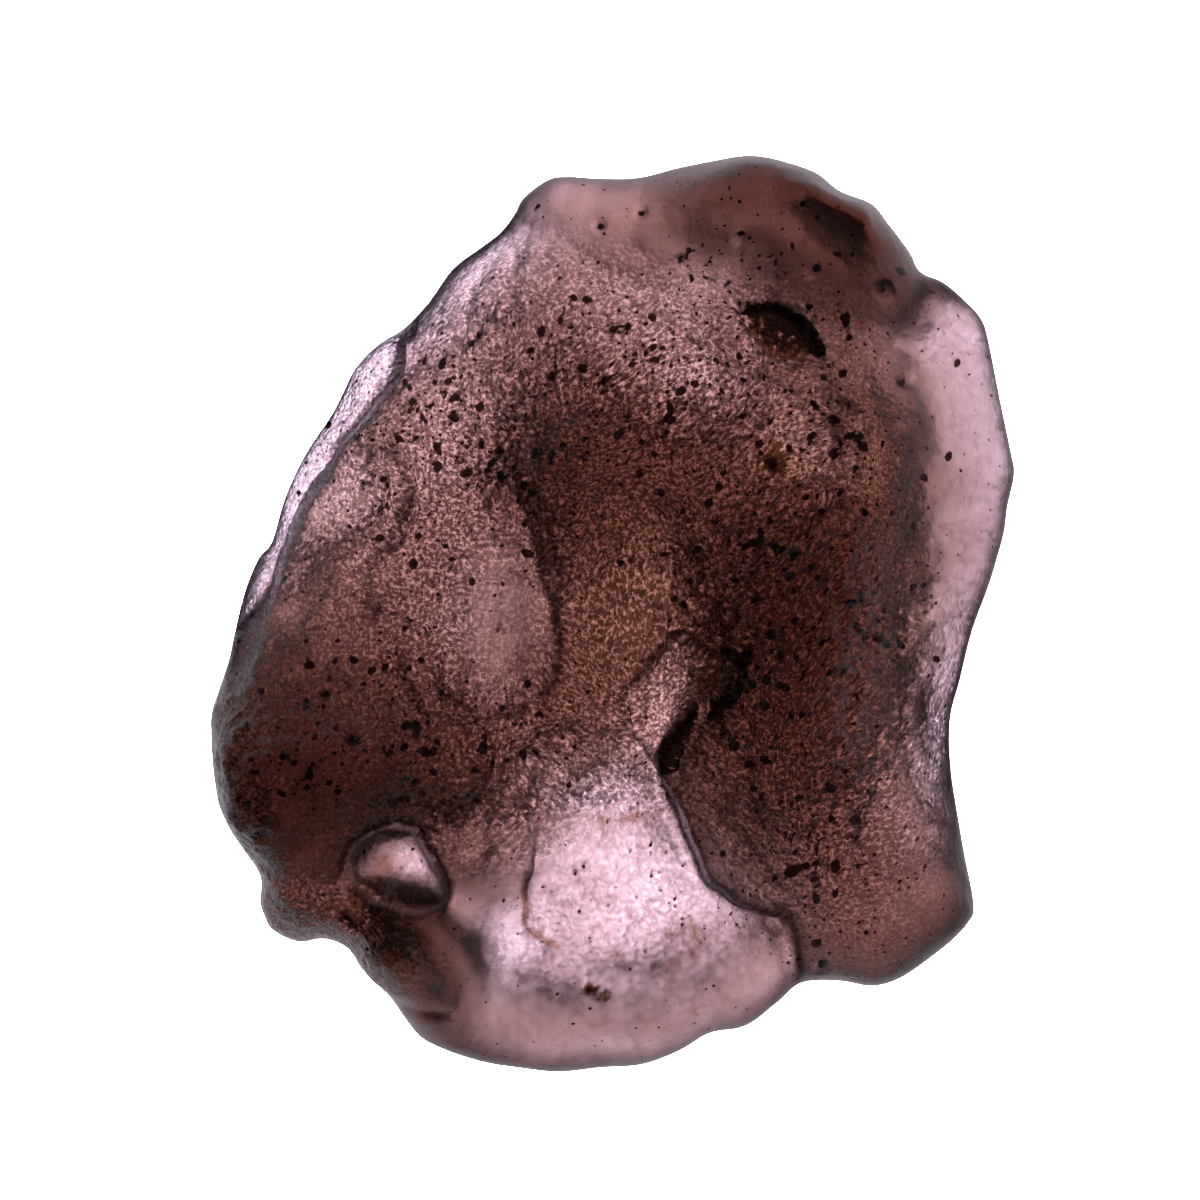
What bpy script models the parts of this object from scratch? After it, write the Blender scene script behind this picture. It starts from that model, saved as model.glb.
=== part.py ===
"""A tektite: one pebble of smoky, translucent natural glass, with an etched and pitted skin.

It lies flat as found, with the side of the photograph up. The photograph's right is +X, its top is +Y, and the
origin is under the middle of the pebble, on the surface that it rests on. Lengths are in metres.

The skin is two sheets that meet along the rim. Seen from above, both fill the same outline. The upper sheet
stands above the rim and the lower one hangs below it, each by a height that named lumps and hollows give. Where
both are shallow the glass is thin, and light comes through.
"""

import bmesh
import bpy
import numpy as np

MM = 0.001

# Size: the pebble's length, and the same length in the photograph's pixels, which every place below is given in.
LENGTH = 32 * MM
LENGTH_IN_PIXELS = 917
PIXEL = LENGTH / LENGTH_IN_PIXELS
MIDDLE = (613.5, 614.5)
HUB = (600, 620)

# The two sheets: squares of this many cells, wrapped over the pebble, and the share of their facets that stays.
CELLS = 120
FACETS_KEPT = 0.135

# The rim's height above the floor and how much it sways, over what distance in pixels. Inside the rim, the
# sheets round up to their own heights over the rim's width.
RIM_HEIGHT = 3.5 * MM
RIM_SWAY = 0.8 * MM
RIM_SWAY_SIZE = 340
RIM_WIDTH = 68
RIM_FULLNESS = 2.4

# Plain height of each sheet, before its lumps and hollows.
TOP_RISE = 2.3 * MM
UNDER_DROP = 2.2 * MM

# The glass is nowhere thinner than this, and it levels off before it is.
THINNEST = 0.4 * MM
THINNING_EASE = 0.5 * MM

# How far a ledge's edge eases to each side, in pixels.
LEDGE_EASE = 8

# Points of the two sheets that are nearer to each other than this are sewn into one.
SEWING_REACH = 0.001 * MM

# The rim as seen from above, clockwise from the left end of the top edge.
OUTLINE = (
    (523, 198), (546, 180), (565, 176), (600, 178), (640, 177), (680, 167), (720, 159), (750, 156),
    (780, 160), (815, 172), (840, 191), (872, 204), (890, 226), (910, 253), (920, 272), (944, 283),
    (967, 302), (982, 319), (989, 340), (1000, 397), (1011, 449), (1015, 474), (1008, 506), (1005, 529),
    (1000, 550), (989, 586), (972, 632), (960, 680), (950, 720), (951, 773), (962, 843), (973, 902),
    (966, 923), (939, 949), (901, 977), (872, 986), (840, 981), (802, 983), (779, 1002), (746, 1027),
    (710, 1034), (680, 1052), (642, 1066), (600, 1069), (558, 1073), (520, 1068), (478, 1061), (427, 1041),
    (406, 1018), (392, 997), (366, 971), (350, 948), (326, 938), (299, 941), (275, 930), (266, 917),
    (261, 901), (262, 882), (258, 869), (240, 843), (224, 814), (216, 779), (212, 722), (219, 693),
    (229, 661), (234, 638), (245, 592), (259, 558), (272, 542), (285, 498), (306, 453), (333, 413),
    (352, 374), (365, 357), (382, 342), (405, 328), (430, 301), (453, 269), (482, 247), (501, 232),
    (515, 213),
)

# Lumps (plus) and hollows (minus): place, half-widths, turn in degrees, flatness, height. The rim's width is in
# pixels, and its lumps are taken off its height.
TOP_LUMPS = {
    "right mass": ((806, 620), (80, 160), 0, 2.3, 1.6 * MM),
    "right mass, low end": ((785, 790), (80, 110), 0, 2.4, 0.7 * MM),
    "right shoulder": ((862, 575), (60, 90), 0, 2.0, 0.6 * MM),
    "left of the right flange": ((874, 430), (44, 70), 0, 2.2, 1.7 * MM),
    "left mass": ((298, 788), (115, 112), 0, 2.8, 2.0 * MM),
    "darkest of the left mass": ((340, 755), (70, 55), 0, 2.4, 0.5 * MM),
    "left mass, inner end": ((448, 785), (80, 75), 0, 2.4, 1.4 * MM),
    "left rim": ((245, 800), (50, 110), 0, 2.0, 0.7 * MM),
    "knob of the tongue": ((711, 679), (15, 24), 0, 2.4, 0.35 * MM),
    "left knob": ((300, 905), (45, 35), 0, 2.0, 0.7 * MM),
    "middle swell": ((575, 462), (88, 56), 10, 2.4, 0.9 * MM),
    "right of the long oval": ((590, 540), (34, 60), 0, 2.4, 0.4 * MM),
    "striped zone": ((646, 650), (74, 132), 0, 3.2, -1.65 * MM),
    "upper right lobe": ((850, 242), (95, 78), -25, 2.6, 1.4 * MM),
    "upper right rim": ((878, 238), (56, 64), 20, 2.2, 1.1 * MM),
    "top rim": ((755, 188), (115, 42), 0, 2.4, 1.2 * MM),
    "upper left rim": ((425, 305), (135, 58), 42, 2.4, -1.7 * MM),
    "left edge": ((280, 560), (48, 110), -12, 2.4, -0.8 * MM),
    "round hollow": ((806, 466), (62, 60), 0, 2.4, -2.0 * MM),
    "upper middle": ((675, 365), (95, 75), -15, 2.4, -2.1 * MM),
    "upper left": ((480, 300), (140, 72), 28, 2.4, -1.1 * MM),
    "left end of the top": ((520, 232), (52, 42), 20, 2.2, -0.5 * MM),
    "below the top": ((735, 283), (95, 40), 0, 2.2, -1.1 * MM),
    "left shoulder": ((478, 440), (62, 90), -10, 2.4, -2.0 * MM),
    "oval by the left edge": ((362, 497), (42, 48), 0, 2.6, -0.9 * MM),
    "flake on the left rim": ((245, 645), (13, 42), -12, 2.8, -1.0 * MM),
    "long oval": ((500, 622), (72, 100), -8, 2.4, -1.6 * MM),
    "window": ((603, 890), (125, 85), 0, 2.6, -2.2 * MM),
    "right of the tongue": ((733, 862), (40, 75), 0, 2.2, -1.0 * MM),
    "window, neck": ((588, 784), (86, 60), 0, 2.2, -2.6 * MM),
    "apron below the window": ((570, 985), (165, 75), 5, 2.8, -1.1 * MM),
    "right end of the apron": ((772, 925), (52, 58), 0, 2.4, -1.0 * MM),
    "foot": ((398, 966), (76, 64), 20, 2.2, 2.5 * MM),
    "above the dimple": ((425, 822), (55, 30), 0, 2.2, -0.8 * MM),
    "right of the dimple": ((474, 874), (36, 46), 0, 2.2, 1.1 * MM),
    "round the dimple": ((402, 866), (85, 70), 0, 2.2, -0.6 * MM),
    "smooth slope by the foot": ((492, 940), (54, 72), 20, 2.4, -1.3 * MM),
    "lower right": ((830, 905), (70, 50), 10, 2.2, 0.4 * MM),
    "lower right rim": ((935, 890), (45, 50), 0, 2.2, 0.5 * MM),
    "right flange": ((1000, 430), (140, 240), 0, 2.0, -0.9 * MM),
    "top of the right flange": ((922, 325), (56, 60), 0, 2.2, -1.6 * MM),
    "right edge, below": ((925, 725), (72, 135), 0, 2.0, -1.8 * MM),
    "right edge, above": ((935, 620), (60, 200), 0, 2.0, -0.5 * MM),
}
UNDER_LUMPS = {
    "resting place": ((650, 600), (225, 225), 0, 2.6, 1.8 * MM),
    "below the window": ((610, 925), (175, 135), 0, 2.4, -1.2 * MM),
    "below the long oval": ((455, 600), (85, 110), 0, 2.2, -0.7 * MM),
    "below the left edge": ((305, 460), (100, 160), -25, 2.4, -1.6 * MM),
    "below the top": ((570, 240), (190, 100), 10, 2.4, -1.0 * MM),
    "below the right edge": ((985, 480), (110, 270), 0, 2.3, -1.6 * MM),
    "below the lower right edge": ((960, 770), (70, 140), 0, 2.4, -0.9 * MM),
    "below the left mass": ((310, 780), (125, 100), 0, 2.4, 0.8 * MM),
    "below the right mass": ((800, 650), (100, 200), 0, 2.4, 0.8 * MM),
    "below the upper right lobe": ((856, 250), (84, 74), -25, 2.4, 0.8 * MM),
    "below the foot": ((402, 958), (70, 62), 0, 2.2, 1.2 * MM),
    "below the dimple": ((402, 872), (105, 90), 0, 2.2, -1.1 * MM),
}
RIM_WIDTHS = {
    "blunt left side": ((225, 790), (60, 140), 0, 2.6, -42),
    "blunt lower left": ((330, 950), (85, 45), -20, 2.4, -36),
    "blunt top right": ((830, 195), (150, 62), -30, 2.6, -40),
}
RIM_LUMPS = {
    "below the window": ((600, 1070), (260, 150), 0, 2.4, -0.8 * MM),
    "right flange": ((1010, 440), (140, 220), 0, 2.4, -0.5 * MM),
    "left flange": ((310, 430), (120, 140), -40, 2.4, -0.5 * MM),
    "top edge": ((590, 180), (120, 80), 0, 2.2, -0.4 * MM),
}

# Ledges: the loops that the glass drops inside of.
LEFT_FLANGE = (
    (412, 328), (400, 340), (396, 372), (385, 388), (367, 415), (344, 440), (338, 452), (336, 462),
    (322, 487), (305, 510), (288, 552), (262, 610), (200, 620), (200, 300), (400, 280),
)
TONGUE_AND_WINDOW = (
    (640, 672), (655, 655), (670, 640), (680, 637), (692, 644), (716, 658), (725, 672), (724, 688),
    (712, 700), (696, 706), (690, 718), (672, 745), (664, 775), (675, 800), (695, 850), (708, 882),
    (722, 892), (740, 903), (780, 915), (790, 930), (795, 950), (798, 985), (790, 1100), (430, 1100),
    (440, 1010), (520, 960), (528, 940), (525, 925), (531, 905), (526, 890), (531, 830), (523, 800),
    (560, 740), (600, 700),
)
ROUND_DIMPLE = (
    (350, 862), (355, 843), (371, 829), (395, 824), (416, 828), (430, 846), (440, 864), (449, 884),
    (446, 902), (415, 912), (380, 904), (356, 884),
)
OPEN_BUBBLE = (
    (731, 310), (750, 308), (780, 309), (796, 321), (809, 340), (817, 359), (792, 369), (775, 367),
    (757, 355), (743, 335),
)
LONG_OVAL = (
    (420, 640), (412, 590), (425, 540), (450, 500), (480, 480), (508, 482), (526, 508), (536, 540),
    (546, 580), (556, 612), (562, 645), (552, 690), (520, 712), (480, 712), (445, 690),
)
FLANGE_DROP = 1.9 * MM
OVAL_DROPS = {
    "right side": ((535, 590), (50, 90), 8, 2.4, 0.9 * MM),
    "lower end": ((480, 690), (70, 40), 0, 2.2, 0.3 * MM),
}
TONGUE_DROPS = {
    "by the knob": ((678, 695), (48, 70), 0, 2.2, 1.9 * MM),
    "right side of the window": ((678, 838), (75, 90), 0, 2.4, 1.6 * MM),
    "left side of the window": ((550, 880), (35, 80), 0, 2.4, 0.4 * MM),
    "below the window": ((730, 945), (90, 75), 0, 2.4, 0.7 * MM),
}
DIMPLE_DROPS = {
    "deepest at the top": ((392, 854), (88, 66), 0, 2.6, 2.7 * MM),
}
BUBBLE_DROP = 0.7 * MM

# Creases: the line, its half-width in pixels, its depth.
CREASES = {
    "side of the middle valley": (((520, 490), (533, 520), (541, 550), (552, 580), (556, 605)), 12, 0.5 * MM),
    "round the oval": (
        ((345, 458), (370, 455), (398, 462), (404, 490), (398, 520), (385, 545), (370, 562), (368, 582), (374, 605)),
        11,
        0.3 * MM,
    ),
    "below the long oval": (((405, 660), (422, 700), (442, 715), (480, 718), (520, 710)), 11, 0.2 * MM),
    "gap beside the knob": (((722, 695), (706, 722), (688, 745), (680, 772)), 11, 0.6 * MM),
    "crack in the tongue": (((625, 700), (632, 735), (645, 752), (658, 770)), 9, 0.3 * MM),
    "from the bubble": (((815, 362), (818, 385), (826, 402), (850, 416), (862, 430)), 10, 0.35 * MM),
    "across the shoulder": (((700, 425), (715, 438), (732, 441), (755, 426), (766, 414)), 10, 0.35 * MM),
}

# Unevenness all over: size in pixels, height from hollow to swell. Its lattice repeats after this many steps.
ROUGHENING = ((105, 0.6 * MM), (46, 0.3 * MM))
LATTICE = 16
RIM_SWAY_SEED = 4

# Open pits in the skin: place, radius in pixels.
TOP_PITS = (
    ((359, 733), 11), ((394, 748), 9), ((531, 757), 11), ((505, 706), 8), ((540, 714), 9), ((388, 666), 8),
    ((445, 690), 8), ((550, 376), 10), ((496, 450), 9), ((457, 397), 9), ((606, 381), 9), ((560, 322), 8),
    ((478, 335), 8), ((642, 442), 8), ((612, 330), 8), ((884, 295), 11), ((810, 275), 9), ((600, 228), 9),
    ((738, 240), 8), ((680, 262), 8), ((820, 510), 10), ((775, 462), 12), ((757, 545), 10), ((752, 600), 9),
    ((740, 655), 12), ((775, 655), 8), ((800, 715), 8), ((742, 765), 11), ((845, 770), 8), ((808, 880), 8),
    ((860, 835), 8), ((870, 640), 8), ((405, 802), 8), ((330, 690), 8), ((300, 760), 8), ((480, 800), 8),
    ((268, 830), 9), ((820, 965), 9), ((350, 915), 10), ((590, 985), 8), ((640, 215), 8), ((905, 380), 8),
)
UNDER_PITS = (
    ((600, 560), 12), ((690, 640), 10), ((560, 680), 9), ((720, 520), 10), ((480, 360), 12), ((760, 330), 10),
    ((860, 420), 11), ((880, 600), 12), ((830, 760), 10), ((740, 900), 11), ((520, 880), 12), ((390, 760), 11),
    ((320, 640), 10), ((420, 520), 9), ((640, 240), 10), ((600, 1000), 10), ((300, 820), 11), ((900, 860), 10),
)

# A pit is a ball whose middle is this share of its radius above the skin. None goes where the pebble rests.
PIT_SINK = 0.35
PIT_CLEARANCE = 0.2 * MM

GLASS_COLOUR = (0.30, 0.17, 0.15, 1)
GLASS_ROUGHNESS = 0.38
GLASS_BENDING = 1.49
GLASS_CLEARNESS = 0.6


def clear_scene():
    for old in list(bpy.data.objects):
        bpy.data.objects.remove(old, do_unlink=True)


def smooth(corners, is_loop):
    """Points on a smooth curve through the corners, four for each. A loop comes back to its first point."""
    corners = np.asarray(corners, float)
    ends = (corners[-1:], corners[:2]) if is_loop else (corners[:1], corners[-1:])
    held = np.concatenate([ends[0], corners, ends[1]])
    before, there, after, beyond = held[:-3], held[1:-2], held[2:-1], held[3:]
    t = (np.arange(4) / 4)[:, None, None]
    curve = there + 0.5 * t * (after - before)
    curve = curve + t**2 * (before - 2.5 * there + 2 * after - 0.5 * beyond)
    curve = curve + t**3 * (1.5 * (there - after) + 0.5 * (beyond - before))
    curve = curve.transpose(1, 0, 2).reshape(-1, 2)
    return np.concatenate([curve, corners[:1] if is_loop else corners[-1:]])


def reach(angle):
    """How far the outline is from the hub in each direction, in pixels."""
    across, up = RIM[:, 0] - HUB[0], HUB[1] - RIM[:, 1]
    return np.interp(angle, np.arctan2(up, across), np.hypot(across, up), period=2 * np.pi)


def lump(x, y, place, half, turn, flatness):
    """1 in the middle, falling off past the half-widths: the flatter its top, the steeper its sides."""
    across, up = x - place[0], place[1] - y
    along = (across * np.cos(np.radians(turn)) + up * np.sin(np.radians(turn))) / half[0]
    beside = (up * np.cos(np.radians(turn)) - across * np.sin(np.radians(turn))) / half[1]
    return np.exp(-((along**2 + beside**2) ** (flatness / 2)))


def all_lumps(x, y, lumps):
    return sum(height * lump(x, y, *form) for *form, height in lumps.values())


def to_line(x, y, line):
    """How far each point is from a line of straight pieces."""
    nearest = np.full(np.shape(x), np.inf)
    for (ax, ay), (bx, by) in zip(line[:-1], line[1:]):
        run, rise = bx - ax, by - ay
        share = np.clip(((x - ax) * run + (y - ay) * rise) / (run**2 + rise**2), 0, 1)
        nearest = np.minimum(nearest, np.hypot(x - ax - share * run, y - ay - share * rise))
    return nearest


def is_inside(x, y, loop):
    inside = np.zeros(np.shape(x), bool)
    for (ax, ay), (bx, by) in zip(loop[:-1], loop[1:]):
        if ay != by:
            inside ^= ((ay > y) != (by > y)) & (x < ax + (y - ay) * (bx - ax) / (by - ay))
    return inside


def ledge(x, y, corners):
    """1 inside a loop and 0 outside it."""
    loop = smooth(corners, True)
    depth = to_line(x, y, loop) * np.where(is_inside(x, y, loop), 1, -1)
    return 0.5 + 0.5 * np.tanh(depth / LEDGE_EASE)


def thinned(thickness):
    """A thickness that levels off before it falls below the thinnest."""
    over = thickness - THINNEST
    return THINNEST + 0.5 * (over + np.sqrt(over**2 + THINNING_EASE**2))


def unevenness(places, size, seed):
    """Random numbers on a lattice, eased between them, from 0 to 1."""
    table = np.random.default_rng(seed).uniform(0, 1, (LATTICE, LATTICE, LATTICE))
    cell = np.floor(places / size).astype(int)
    share = places / size - cell
    share = share * share * (3 - 2 * share)
    total = 0
    for corner in np.ndindex(2, 2, 2):
        weight = np.prod(np.where(corner, share, 1 - share), axis=-1)
        i, j, k = np.moveaxis((cell + corner) % LATTICE, -1, 0)
        total = total + weight * table[i, j, k]
    return total


def top_rise(x, y):
    """How high the upper sheet stands above the rim: below it where a hollow is deeper than that."""
    rise = TOP_RISE + all_lumps(x, y, TOP_LUMPS)
    rise = rise - FLANGE_DROP * ledge(x, y, LEFT_FLANGE)
    rise = rise - all_lumps(x, y, TONGUE_DROPS) * ledge(x, y, TONGUE_AND_WINDOW)
    rise = rise - all_lumps(x, y, OVAL_DROPS) * ledge(x, y, LONG_OVAL)
    rise = rise - all_lumps(x, y, DIMPLE_DROPS) * ledge(x, y, ROUND_DIMPLE)
    rise = rise - BUBBLE_DROP * ledge(x, y, OPEN_BUBBLE)
    for line, half, depth in CREASES.values():
        rise = rise - depth * np.exp(-((to_line(x, y, smooth(line, False)) / half) ** 2))
    return thinned(rise + under_drop(x, y)) - under_drop(x, y)


def under_drop(x, y):
    """How far the lower sheet hangs below the rim."""
    return UNDER_DROP + all_lumps(x, y, UNDER_LUMPS)


def rim_height(x, y):
    """The rim isn't level: it sways up and down round the pebble, and is lower at the thin edges."""
    flat = np.stack([x, y, np.zeros(np.shape(x))], axis=-1)
    sway = RIM_SWAY * (2 * unevenness(flat, RIM_SWAY_SIZE, RIM_SWAY_SEED) - 1)
    return RIM_HEIGHT + sway + all_lumps(x, y, RIM_LUMPS)


def fullness_at(x, y):
    """0 at the rim, rounding up to 1 at the rim's width inside it."""
    width = RIM_WIDTH + all_lumps(x, y, RIM_WIDTHS)
    short = 1 - np.clip(to_line(x, y, RIM) / width, 0, 1)
    return np.sqrt(1 - short**RIM_FULLNESS)


def on_pebble(u, v, is_top):
    """The place on the pebble of a point of the square, whose border is the rim."""
    far = np.maximum(np.abs(u), np.abs(v))
    near = np.minimum(np.abs(u), np.abs(v))
    eighth = np.pi / 4 * near / np.maximum(far, 1e-9)
    angle = np.where(np.abs(u) >= np.abs(v), eighth, np.pi / 2 - eighth)
    angle = np.arctan2(np.sin(angle) * np.where(v < 0, -1, 1), np.cos(angle) * np.where(u < 0, -1, 1))
    share = np.sin(np.pi / 2 * far)
    x = HUB[0] + share * reach(angle) * np.cos(angle)
    y = HUB[1] - share * reach(angle) * np.sin(angle)
    fullness = np.where(far > 1 - 1e-6, 0, fullness_at(x, y))
    height = np.where(is_top, top_rise(x, y), -under_drop(x, y))
    z = rim_height(x, y) + fullness * height
    return np.stack([(x - MIDDLE[0]) * PIXEL, (MIDDLE[1] - y) * PIXEL, z], axis=-1), fullness


def places_of(shape):
    return np.array([v.co for v in shape.verts])


def move_to(shape, places):
    for v, place in zip(shape.verts, places):
        v.co = place


def pebble_shape():
    """Two sheets over the same outline, sewn along the rim, roughened, and flat where the pebble rests."""
    shape = bmesh.new()
    bmesh.ops.create_grid(shape, x_segments=CELLS, y_segments=CELLS, size=1)
    copied = bmesh.ops.duplicate(shape, geom=shape.verts[:] + shape.edges[:] + shape.faces[:])
    lower = {g for g in copied["geom"] if isinstance(g, bmesh.types.BMVert)}
    bmesh.ops.reverse_faces(shape, faces=[g for g in copied["geom"] if isinstance(g, bmesh.types.BMFace)])
    square = places_of(shape)
    is_top = np.array([v not in lower for v in shape.verts])
    places, fullness = on_pebble(square[:, 0], square[:, 1], is_top)
    move_to(shape, places)
    shape.normal_update()
    outward = np.array([v.normal for v in shape.verts])
    for seed, (size, depth) in enumerate(ROUGHENING):
        swell = np.where(is_top, depth, -depth) * (unevenness(places, size * PIXEL, seed) - 0.5)
        places = places + outward * (swell * fullness)[:, None]
    places[:, 2] = np.maximum(places[:, 2], 0)
    move_to(shape, places)
    bmesh.ops.remove_doubles(shape, verts=shape.verts, dist=SEWING_REACH)
    return shape


def pit_cutters(pebble):
    """One closed low ball for each pit, sunk into the skin that is right above or below its place."""
    pits = bmesh.new()
    for listed, way in ((TOP_PITS, 1), (UNDER_PITS, -1)):
        for (x, y), radius in listed:
            start = ((x - MIDDLE[0]) * PIXEL, (MIDDLE[1] - y) * PIXEL, way * LENGTH)
            hit, place, facing, _ = pebble.ray_cast(start, (0, 0, -way))
            if not hit or (way < 0 and place.z < PIT_CLEARANCE):
                continue
            ball = bmesh.ops.create_icosphere(pits, subdivisions=1, radius=radius * PIXEL)
            bmesh.ops.translate(pits, verts=ball["verts"], vec=place + facing * radius * PIXEL * PIT_SINK)
    return pits


def thin_out(pebble):
    """Few facets where the skin is smooth, and more along its ledges and creases."""
    thinning = pebble.modifiers.new("fewer facets", "DECIMATE")
    thinning.ratio = FACETS_KEPT
    thinning.use_collapse_triangulate = True
    thinned_mesh = bpy.data.meshes.new_from_object(pebble.evaluated_get(bpy.context.evaluated_depsgraph_get()))
    pebble.modifiers.remove(thinning)
    pebble.data = thinned_mesh


def as_object(shape, name):
    mesh = bpy.data.meshes.new(name)
    shape.to_mesh(mesh)
    shape.free()
    made = bpy.data.objects.new(name, mesh)
    bpy.context.scene.collection.objects.link(made)
    return made


def glass():
    material = bpy.data.materials.new("smoky etched glass")
    material.use_nodes = True
    shader = material.node_tree.nodes["Principled BSDF"]
    shader.inputs["Base Color"].default_value = GLASS_COLOUR
    shader.inputs["Roughness"].default_value = GLASS_ROUGHNESS
    shader.inputs["Metallic"].default_value = 0
    shader.inputs["IOR"].default_value = GLASS_BENDING
    shader.inputs["Transmission Weight"].default_value = GLASS_CLEARNESS
    return material


RIM = smooth(OUTLINE, True)

clear_scene()
tektite = as_object(pebble_shape(), "tektite")
thin_out(tektite)
tektite.data.materials.append(glass())
tektite.data.shade_smooth()
cutters = as_object(pit_cutters(tektite), "pit cutters")
cutters.hide_render = True
cutters.display_type = "WIRE"
pitting = tektite.modifiers.new("pits", "BOOLEAN")
pitting.operation = "DIFFERENCE"
pitting.solver = "MANIFOLD"
pitting.object = cutters
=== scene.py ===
# %% [markdown]
# # A pebble of smoky natural glass
#
# This is one lump of natural glass, splashed molten and chilled in flight, then etched for ages in the
# ground. It lies on a lit table, so nearly all of its look comes from light that passes up through it:
# where it is thick it is smoky brown, where it is thin it is pale lavender, and every pit and crack shows
# dark, from the dirt it holds and from shade painted into the cracks and crevices.
#
# It could be sculpted by hand or carved out of a ball. Here it is worked out instead, as two sheets of
# numbers that meet along the rim, because then a lump, a ledge or a crack is one named line that can be
# moved.

# %% Load the frame
from functools import partial

import bpy
import numpy as np
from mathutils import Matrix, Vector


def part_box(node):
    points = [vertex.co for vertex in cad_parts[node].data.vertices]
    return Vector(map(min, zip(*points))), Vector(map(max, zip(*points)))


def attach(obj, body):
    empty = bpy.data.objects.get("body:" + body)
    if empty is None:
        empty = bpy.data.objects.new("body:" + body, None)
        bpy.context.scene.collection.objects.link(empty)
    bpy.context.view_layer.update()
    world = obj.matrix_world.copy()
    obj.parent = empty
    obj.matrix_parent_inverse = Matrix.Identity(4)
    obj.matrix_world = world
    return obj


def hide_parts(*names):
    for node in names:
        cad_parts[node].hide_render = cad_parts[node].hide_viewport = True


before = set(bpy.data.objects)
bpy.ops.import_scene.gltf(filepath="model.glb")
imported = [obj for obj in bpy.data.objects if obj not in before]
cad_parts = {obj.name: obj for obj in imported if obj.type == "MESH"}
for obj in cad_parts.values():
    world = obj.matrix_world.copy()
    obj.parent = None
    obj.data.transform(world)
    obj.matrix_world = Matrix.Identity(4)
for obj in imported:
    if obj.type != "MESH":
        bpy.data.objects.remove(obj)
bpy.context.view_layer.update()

# %% [markdown]
# ## Places and lengths
#
# Every place on the pebble was read from the photograph, so it is given in the photograph's pixels, across
# and down. The solid's length is the same length as 917 pixels, which sets the scale. Depths are real
# lengths.

# %% Scale
MM = 0.001
LENGTH_IN_PIXELS = 917
low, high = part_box("tektite")
PIXEL = (high[1] - low[1]) / LENGTH_IN_PIXELS
MIDDLE = (613.5, 614.5)
HUB = (600, 620)
print("one pixel of the photograph is", round(PIXEL / MM, 4), "mm on the pebble")

# %% [markdown]
# ## The rim
#
# Seen from above, the pebble has one outline. The corners below are the few that its shape needs, and a
# smooth curve runs through them all. A Bezier curve object could do the same, but then the sheets could not
# ask it how far away it is, which is what rounds them over at the edge.

# %% The outline and curves through corners
OUTLINE = (
    (523, 198), (546, 180), (565, 176), (600, 178), (640, 177), (680, 167), (720, 159), (750, 156),
    (780, 160), (815, 172), (840, 191), (872, 204), (890, 226), (910, 253), (920, 272), (944, 283),
    (967, 302), (982, 319), (989, 340), (1000, 397), (1011, 449), (1015, 474), (1008, 506), (1005, 529),
    (1000, 550), (989, 586), (972, 632), (960, 680), (950, 720), (951, 773), (962, 843), (973, 902),
    (966, 923), (939, 949), (901, 977), (872, 986), (840, 981), (802, 983), (779, 1002), (746, 1027),
    (710, 1034), (680, 1052), (642, 1066), (600, 1069), (558, 1073), (520, 1068), (478, 1061), (427, 1041),
    (406, 1018), (392, 997), (366, 971), (350, 948), (326, 938), (299, 941), (275, 930), (266, 917),
    (261, 901), (262, 882), (258, 869), (240, 843), (224, 814), (216, 779), (212, 722), (219, 693),
    (229, 661), (234, 638), (245, 592), (259, 558), (272, 542), (285, 498), (306, 453), (333, 413),
    (352, 374), (365, 357), (382, 342), (405, 328), (430, 301), (453, 269), (482, 247), (501, 232),
    (515, 213),
)
POINTS_PER_CORNER = 4


def smooth(corners, is_loop):
    """Points on a smooth curve through the corners, a few for each: at every corner the curve runs
    parallel to the line between the corners before and after it, and between two corners it is a
    cubic."""
    corners = np.asarray(corners, float)
    ends = (corners[-1:], corners[:2]) if is_loop else (corners[:1], corners[-1:])
    held = np.concatenate([ends[0], corners, ends[1]])
    before, there, after, beyond = held[:-3], held[1:-2], held[2:-1], held[3:]
    t = (np.arange(POINTS_PER_CORNER) / POINTS_PER_CORNER)[:, None, None]
    curve = there + 0.5 * t * (after - before)
    curve = curve + t**2 * (before - 2.5 * there + 2 * after - 0.5 * beyond)
    curve = curve + t**3 * (1.5 * (there - after) + 0.5 * (beyond - before))
    curve = curve.transpose(1, 0, 2).reshape(-1, 2)
    return np.concatenate([curve, corners[:1] if is_loop else corners[-1:]])


RIM = smooth(OUTLINE, True)
print("the rim's curve has", len(RIM), "points")

# %% [markdown]
# ## Lumps and hollows
#
# The pebble has a few broad masses, which are the dark places, and hollows between them, which let light
# through. Each is a smooth mound: 1 in its middle, falling off past its half-widths, and the flatter its
# top, the steeper its sides. They are added up, for the upper skin and for the under skin.

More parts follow.
